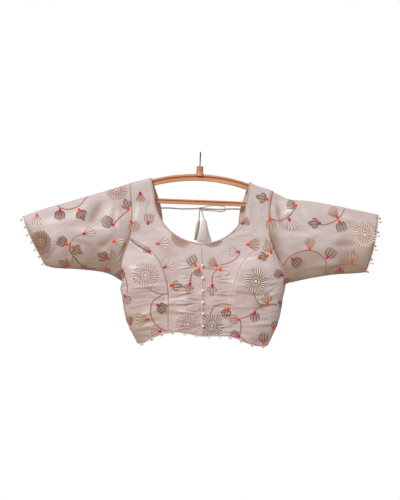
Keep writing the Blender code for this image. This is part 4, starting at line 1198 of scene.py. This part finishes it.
# %% The front's embroidery
SUNBURSTS = [  # from across, from down, radius across and down in pixels, outline, middle
    (41.4, 242.6, 10.8, 12.2, "brown", "tan"),
    (116.8, 190.0, 11.0, 10.0, "fawn", "blush"),
    (146.3, 275.0, 12.8, 12.8, "fawn", "blush"),
    (188.0, 323.0, 12.0, 11.6, "fawn", "blush"),
    (212.0, 325.0, 10.8, 12.0, "brown", "blush"),
    (255.0, 281.0, 10.4, 12.2, "brown", "pale"),
    (364.0, 235.0, 11.2, 12.6, "fawn", "pale"),
    (182.3, 236.0, 11.0, 11.5, "fawn", "sand"),
    (212.0, 238.0, 10.5, 9.5, "brown", "sand"),
]
BUDS = [  # from across, from down, which way in degrees, accent, tone, shape, length in pixels
    (37.4, 215.1, -85, "orange", "pale", "open", 9.5),
    (60.6, 209.8, -92, "magenta", "deep", "blunt", 9.8),
    (79.7, 209.8, -60, "orange", "deep", "pointed", 11.5),
    (113.7, 225.0, 152, "magenta", "dark", "blunt", 11.0),
    (128.7, 209.3, 115, "orange", "dark", "pointed", 10.5),
    (131.7, 221.8, -60, "orange", "mid", "blunt", 10.0),
    (84.6, 234.0, 15, "magenta", "pale", "open", 10.5),
    (67.8, 244.3, 150, "orange", "deep", "blunt", 9.5),
    (73.3, 247.2, -32, "orange", "deep", "pointed", 11.0),
    (69.3, 265.9, 148, "magenta", "deep", "pointed", 10.5),
    (88.0, 268.9, 165, "magenta", "deep", "blunt", 6.0),
    (108.0, 258.4, 160, "magenta", "deep", "pointed", 10.5),
    (103.4, 270.5, -20, "orange", "deep", "blunt", 7.0),
    (114.2, 241.6, 8, "orange", "pale", "open", 9.5),
    (122.9, 270.1, -115, "magenta", "deep", "blunt", 8.0),
    (140.4, 193.4, -86, "magenta", "mid", "open", 8.5),
    (148.3, 223.6, 82, "magenta", "mid", "blunt", 9.0),
    (157.6, 243.8, 0, "orange", "pale", "open", 10.0),
    (150.0, 251.4, 150, "magenta", "mid", "blunt", 6.0),
    (164.9, 267.1, 22, "magenta", "pale", "open", 9.5),
    (195.5, 264.8, 125, "orange", "soft", "blunt", 9.5),
    (199.0, 268.9, -100, "orange", "dark", "blunt", 6.5),
    (190.2, 283.3, -110, "magenta", "mid", "pointed", 9.5),
    (171.4, 285.0, -8, "orange", "soft", "pointed", 11.0),
    (124.7, 295.8, -60, "magenta", "dark", "blunt", 8.5),
    (157.9, 304.3, -35, "magenta", "deep", "blunt", 9.5),
    (148.7, 318.4, 186, "orange", "mid", "open", 11.5),
    (130.8, 323.7, 110, "magenta", "deep", "blunt", 7.0),
    (160.6, 330.2, 205, "magenta", "mid", "blunt", 8.5),
    (241.8, 223.6, 25, "magenta", "mid", "open", 7.0),
    (246.9, 244.6, -2, "orange", "mid", "open", 11.0),
    (238.0, 251.8, 184, "magenta", "pale", "open", 8.5),
    (270.5, 252.4, 108, "orange", "mid", "pointed", 13.0),
    (266.7, 255.6, 198, "orange", "dark", "pointed", 9.5),
    (216.7, 265.4, 140, "orange", "mid", "open", 9.0),
    (219.9, 269.3, -52, "orange", "pale", "open", 9.0),
    (212.1, 284.8, -94, "magenta", "mid", "pointed", 10.0),
    (281.7, 275.2, 165, "magenta", "dark", "blunt", 7.5),
    (284.0, 284.8, 50, "orange", "dark", "blunt", 6.5),
    (266.9, 303.4, 94, "orange", "mid", "pointed", 11.0),
    (253.9, 311.7, -82, "magenta", "dark", "blunt", 8.8),
    (228.2, 307.9, -120, "orange", "dark", "blunt", 8.5),
    (238.0, 318.6, 180, "orange", "mid", "blunt", 8.5),
    (238.6, 335.6, 160, "magenta", "dark", "blunt", 8.5),
    (263.1, 342.3, 96, "orange", "dark", "blunt", 9.0),
    (279.2, 302.4, -30, "magenta", "dark", "blunt", 8.0),
    (273.0, 328.8, 60, "orange", "dark", "blunt", 7.5),
    (266.9, 199.5, 168, "orange", "dark", "pointed", 10.8),
    (269.2, 219.3, -80, "orange", "mid", "blunt", 9.5),
    (295.3, 205.8, 172, "orange", "dark", "blunt", 8.8),
    (288.5, 219.5, -62, "magenta", "pale", "open", 10.0),
    (318.8, 223.5, 176, "magenta", "dark", "pointed", 11.0),
    (336.4, 217.1, 125, "orange", "mid", "open", 10.0),
    (338.6, 221.7, -70, "orange", "dark", "blunt", 9.8),
    (308.7, 249.2, 84, "orange", "mid", "open", 10.0),
    (326.1, 257.6, 58, "magenta", "dark", "blunt", 10.2),
    (351.1, 262.0, 78, "orange", "mid", "pointed", 11.0),
    (291.6, 259.0, -38, "magenta", "deep", "blunt", 9.5),
    (339.3, 268.6, -90, "magenta", "deep", "blunt", 8.5),
]
STEMS = [  # the thread, and the places that the stem winds through
    ("rose", [(57.8, 206), (62.5, 208.6), (68.6, 209.6), (76, 207.8), (81.5, 204.4), (87.7, 196.7)]),
    ("rose", [(26, 214.5), (33, 212), (39.5, 210)]),
    ("tan", [(84, 234), (76, 237), (71, 243)]),
    ("brown", [(71, 243), (71.5, 252), (80, 263), (87, 268), (96, 268.5)]),
    ("fawn", [(96, 268.5), (104, 267), (110, 261), (112.2, 250.3)]),
    ("rose", [(73.8, 254), (73, 259), (72, 264)]),
    ("fawn", [(113, 226), (120, 218), (128.6, 211)]),
    ("rose", [(127.6, 292), (127.2, 282), (124.2, 272)]),
    ("rose", [(148, 287), (156, 292), (163, 293.5), (169, 292.7)]),
    ("fawn", [(163.6, 294), (155, 299), (151.5, 306), (152, 317), (159, 326.4), (169.7, 331.8)]),
    ("fawn", [(195.7, 269.8), (191, 276), (189.6, 291)]),
    ("rose", [(239.8, 253), (235, 259), (229, 262.4), (220.6, 265)]),
    ("fawn", [(217, 268.6), (212.6, 275), (211.8, 283.6)]),
    ("fawn", [(252.8, 291.6), (255.8, 300), (261.2, 304), (276.5, 304.3)]),
    ("fawn", [(262, 304), (256, 309), (248, 315), (239.8, 318)]),
    ("fawn", [(239.8, 319), (240.5, 326), (239.4, 334)]),
    ("fawn", [(240.5, 336.4), (248.2, 342.6), (257.4, 344.9)]),
    ("fawn", [(230.6, 304.3), (222, 303.5), (214, 306), (209.9, 313.5)]),
    ("rose", [(272.8, 190), (270.7, 200.5), (269.5, 210), (270, 218)]),
    ("rose", [(270.6, 218.6), (279.3, 221), (287.9, 216.9), (293, 211), (296.6, 205)]),
    ("rose", [(319, 224.2), (324, 225), (334.5, 221.2), (340, 216), (344, 209)]),
    ("rose", [(283.6, 265), (288, 258), (297, 252.4), (309, 250.6), (319, 254.6), (325, 262),
              (324, 273)]),
    ("rose", [(325, 272), (334, 266), (345, 264), (354, 265), (366, 270.5)]),
]
# Brown lines of painted shade along the folds beside the seams, where a fold lies in shadow.
FOLD_SHADE_LINES = [  # where a seam's fold shows dark, through places in the photograph's pixels
    [(270.4, 239.3), (272.4, 245.9), (275, 252.5), (279, 259.1), (282.6, 265.7)],
    [(126, 243), (123.6, 249.6), (121.5, 256), (119.4, 261.3)],
    [(131.5, 239.8), (138, 245), (145, 250.3), (152, 254.5)],
]
front_sewing = Sewing(-1)
for tone, corners in STEMS:
    stem(front_sewing, corners, tone)
# Painted shade: brown strips along the shaded folds.
for corners in FOLD_SHADE_LINES:
    stem(front_sewing, corners, "brown", FOLD_SHADE_HALF)
for flower in SUNBURSTS:
    sunburst(front_sewing, *flower)
for leaf in BUDS:
    bud(front_sewing, *leaf)
front_embroidery = front_sewing.piece("embroidery_front")
print("faces sewn in front:", len(front_sewing.faces))

# %% [markdown]
# Where two pieces meet, the cloth's folded edges show as a fine line. A narrow strip along each seam gives
# that line its own colour, and it covers the small gap that the imported pieces keep. The darker seam
# colour is painted shade in the fold, and the lighter blush is a painted highlight on it. The places come
# from the points that each piece has beside its neighbour, averaged in short steps from top to bottom. The
# placket's folded edge gets such a line as well, in blush.

# %% Seam lines
SEAM_STEP, SEAM_FACING = 5 * MM, 0.5
SEAM_HALF, SEAM_STANDS = 1.3 * MM, 0.45 * MM
OFF_MIDDLE, OUTER_BAND = 1.5 * MM, 1.2 * MM
FOLD_INSET, FOLD_LINE_HALF, FOLD_STANDS = 0.9 * MM, 1.4 * MM, 0.4 * MM
# The seam colour is painted shade in the fold, and blush a painted highlight on it.
SEAMS = {  # a piece, the pieces that one seam joins it to, and the colour of the seam's fold
    "sleeve_right": (("front_right", "side_front_right", "back"), "seam"),
    "sleeve_left": (("front_left", "side_front_left", "back"), "seam"),
    "front_right": (("side_front_right",), "seam"),
    "front_left": (("side_front_left",), "blush"),
}


def bands(points):
    """Points in level bands, from top to bottom, each with its band's number."""
    rows = np.round(points[:, 2] / SEAM_STEP).astype(int)
    return [(row, points[rows == row]) for row in sorted(set(rows), reverse=True)]


def seam_line(piece, others, side):
    """Where a piece meets others on one side of the blouse, as places from top to bottom."""
    points = np.concatenate([seams[piece, other] for other in others])
    line = []
    for _, band in bands(points[points[:, 1] * side > OFF_MIDDLE]):
        reach = band[:, 1] * side
        line.append(band[reach > reach.max() - OUTER_BAND][:, [0, 2]].mean(0))
    corners = np.array(line)
    corners[1:-1] = (corners[:-2] + 2 * corners[1:-1] + corners[2:]) / 4
    return [place.xy for place in smooth_line([Vector((*corner, 0.0)) for corner in corners], 3)]


def sew_seams(sewing, pieces):
    for piece in pieces:
        others, tone = SEAMS[piece]
        line = seam_line(piece, others, sewing.side)
        sewing.strip(line, [SEAM_HALF] * len(line), SEAM_STANDS, tone)


front_seams, back_seams = Sewing(-1, SEAM_FACING), Sewing(1, SEAM_FACING)
sew_seams(front_seams, SEAMS)
sew_seams(back_seams, TUBE_PIECES)
fold = []
for row, band in bands(read_points(trim["placket"].data))[1:-1]:
    fold.append((band[:, 0].max() - FOLD_INSET, row * SEAM_STEP))
front_seams.strip(fold, [FOLD_LINE_HALF] * len(fold), FOLD_STANDS, "blush")
front_seam_lines = front_seams.piece("seam_lines_front")
back_seam_lines = back_seams.piece("seam_lines_back")
print("seam lines:", len(front_seams.faces) + len(back_seams.faces), "faces")

# %% [markdown]
# The back is cut from the same cloth, so it gets the same flowers in another order: the front's layout is
# turned over from left to right and let down a little, which also fills the back where the photograph
# doesn't show it.

# %% The back's embroidery
BACK_SHIFT = (3.0, 4.0)


def turned_over(across, down):
    return 2 * HOOK_PIXEL[0] - across + BACK_SHIFT[0], down + BACK_SHIFT[1]


back_sewing = Sewing(1)
for tone, corners in STEMS:
    stem(back_sewing, [turned_over(*corner) for corner in corners], tone)
for across, down, *rest in SUNBURSTS:
    sunburst(back_sewing, *turned_over(across, down), *rest)
for across, down, degrees, *rest in BUDS:
    bud(back_sewing, *turned_over(across, down), 180 - degrees, *rest)
back_embroidery = back_sewing.piece("embroidery_back")
print("faces sewn behind:", len(back_sewing.faces))

# %% [markdown]
# ## What each piece of cloth is
# The frame checks that every sheet has the size of the cloth it was cut from. A bodice panel or a sleeve
# isn't a rectangle, so this cell works out a rectangle for each cut, from the box that holds it, and the
# cut's own flat area, and prints them.

TUBE_ROOM, FULLEST_CUT = 1.15, 0.97  # of a sleeve's mean cut, and of a rectangle's area
for node, piece in cloth.items():
    low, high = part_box(node)
    width, length = high.x - low.x, high.z - low.z
    area = flat_area(piece.data)
    if node in TUBE_PIECES:
        length = area / width * TUBE_ROOM
    grow = max(1.0, area / (FULLEST_CUT * width * length))
    width * grow
    print(node, "flat", round(width * grow, 3), "by", round(length, 3), "area", round(area, 3))

# %% [markdown]
# ## Floor and light
# The photograph shows the blouse on plain white, lit softly from the upper left. A round, pale floor lies
# well below the blouse, out of the photograph's view. The sky that the camera sees is plain white, but less
# of it falls on the cloth, and it is a little warm, because a white sky all round would hide every crease.
# A broad sun from the upper left gives the creases their light and dark sides.

# %% Floor and light
FLOOR_HEIGHT, FLOOR_RADIUS = -1.35, 2.0
WHITE, WARM_WHITE, SKY_SHARE = (1.0, 1.0, 1.0, 1.0), (1.0, 0.95, 0.90, 1.0), 0.46
SUNS = {  # where it shines from, how strongly, and its breadth in degrees
    "key": ((-1.35, -1.8, 1.9), 2.52, 16.0),
    "behind": ((1.2, 2.0, 1.4), 1.3, 30.0),
}
disc = bmesh.new()
bmesh.ops.create_circle(disc, cap_ends=True, segments=96, radius=FLOOR_RADIUS)
bmesh.ops.translate(disc, verts=disc.verts, vec=(0.0, 0.0, FLOOR_HEIGHT))
floor = in_scene("floor", mesh_of(disc, "floor"))
floor.data.materials.append(Finish("pale_floor", (0.82, 0.81, 0.80, 1.0), 0.9).material)

sky = bpy.data.worlds.new("white_sky")
sky.use_nodes = True
sky.node_tree.nodes.remove(sky.node_tree.nodes["Background"])
air = Graph(sky.node_tree, "World Output")
seen = air.node("Background", {}, {"Color": WHITE})
felt = air.node("Background", {}, {"Color": WARM_WHITE, "Strength": SKY_SHARE})
in_view = air.node("LightPath", {}, {}, "Is Camera Ray")
air.feeds("Surface", air.node("MixShader", {}, {0: in_view, 1: felt, 2: seen}))
bpy.context.scene.world = sky

for name, (place, strength, breadth) in SUNS.items():
    lamp = bpy.data.lights.new(name, "SUN")
    lamp.energy, lamp.angle = strength, math.radians(breadth)
    light = in_scene(name, lamp)
    light.location = place
    light.rotation_euler = (-Vector(place)).to_track_quat("-Z", "Y").to_euler()
print("lights:", " and ".join(SUNS))
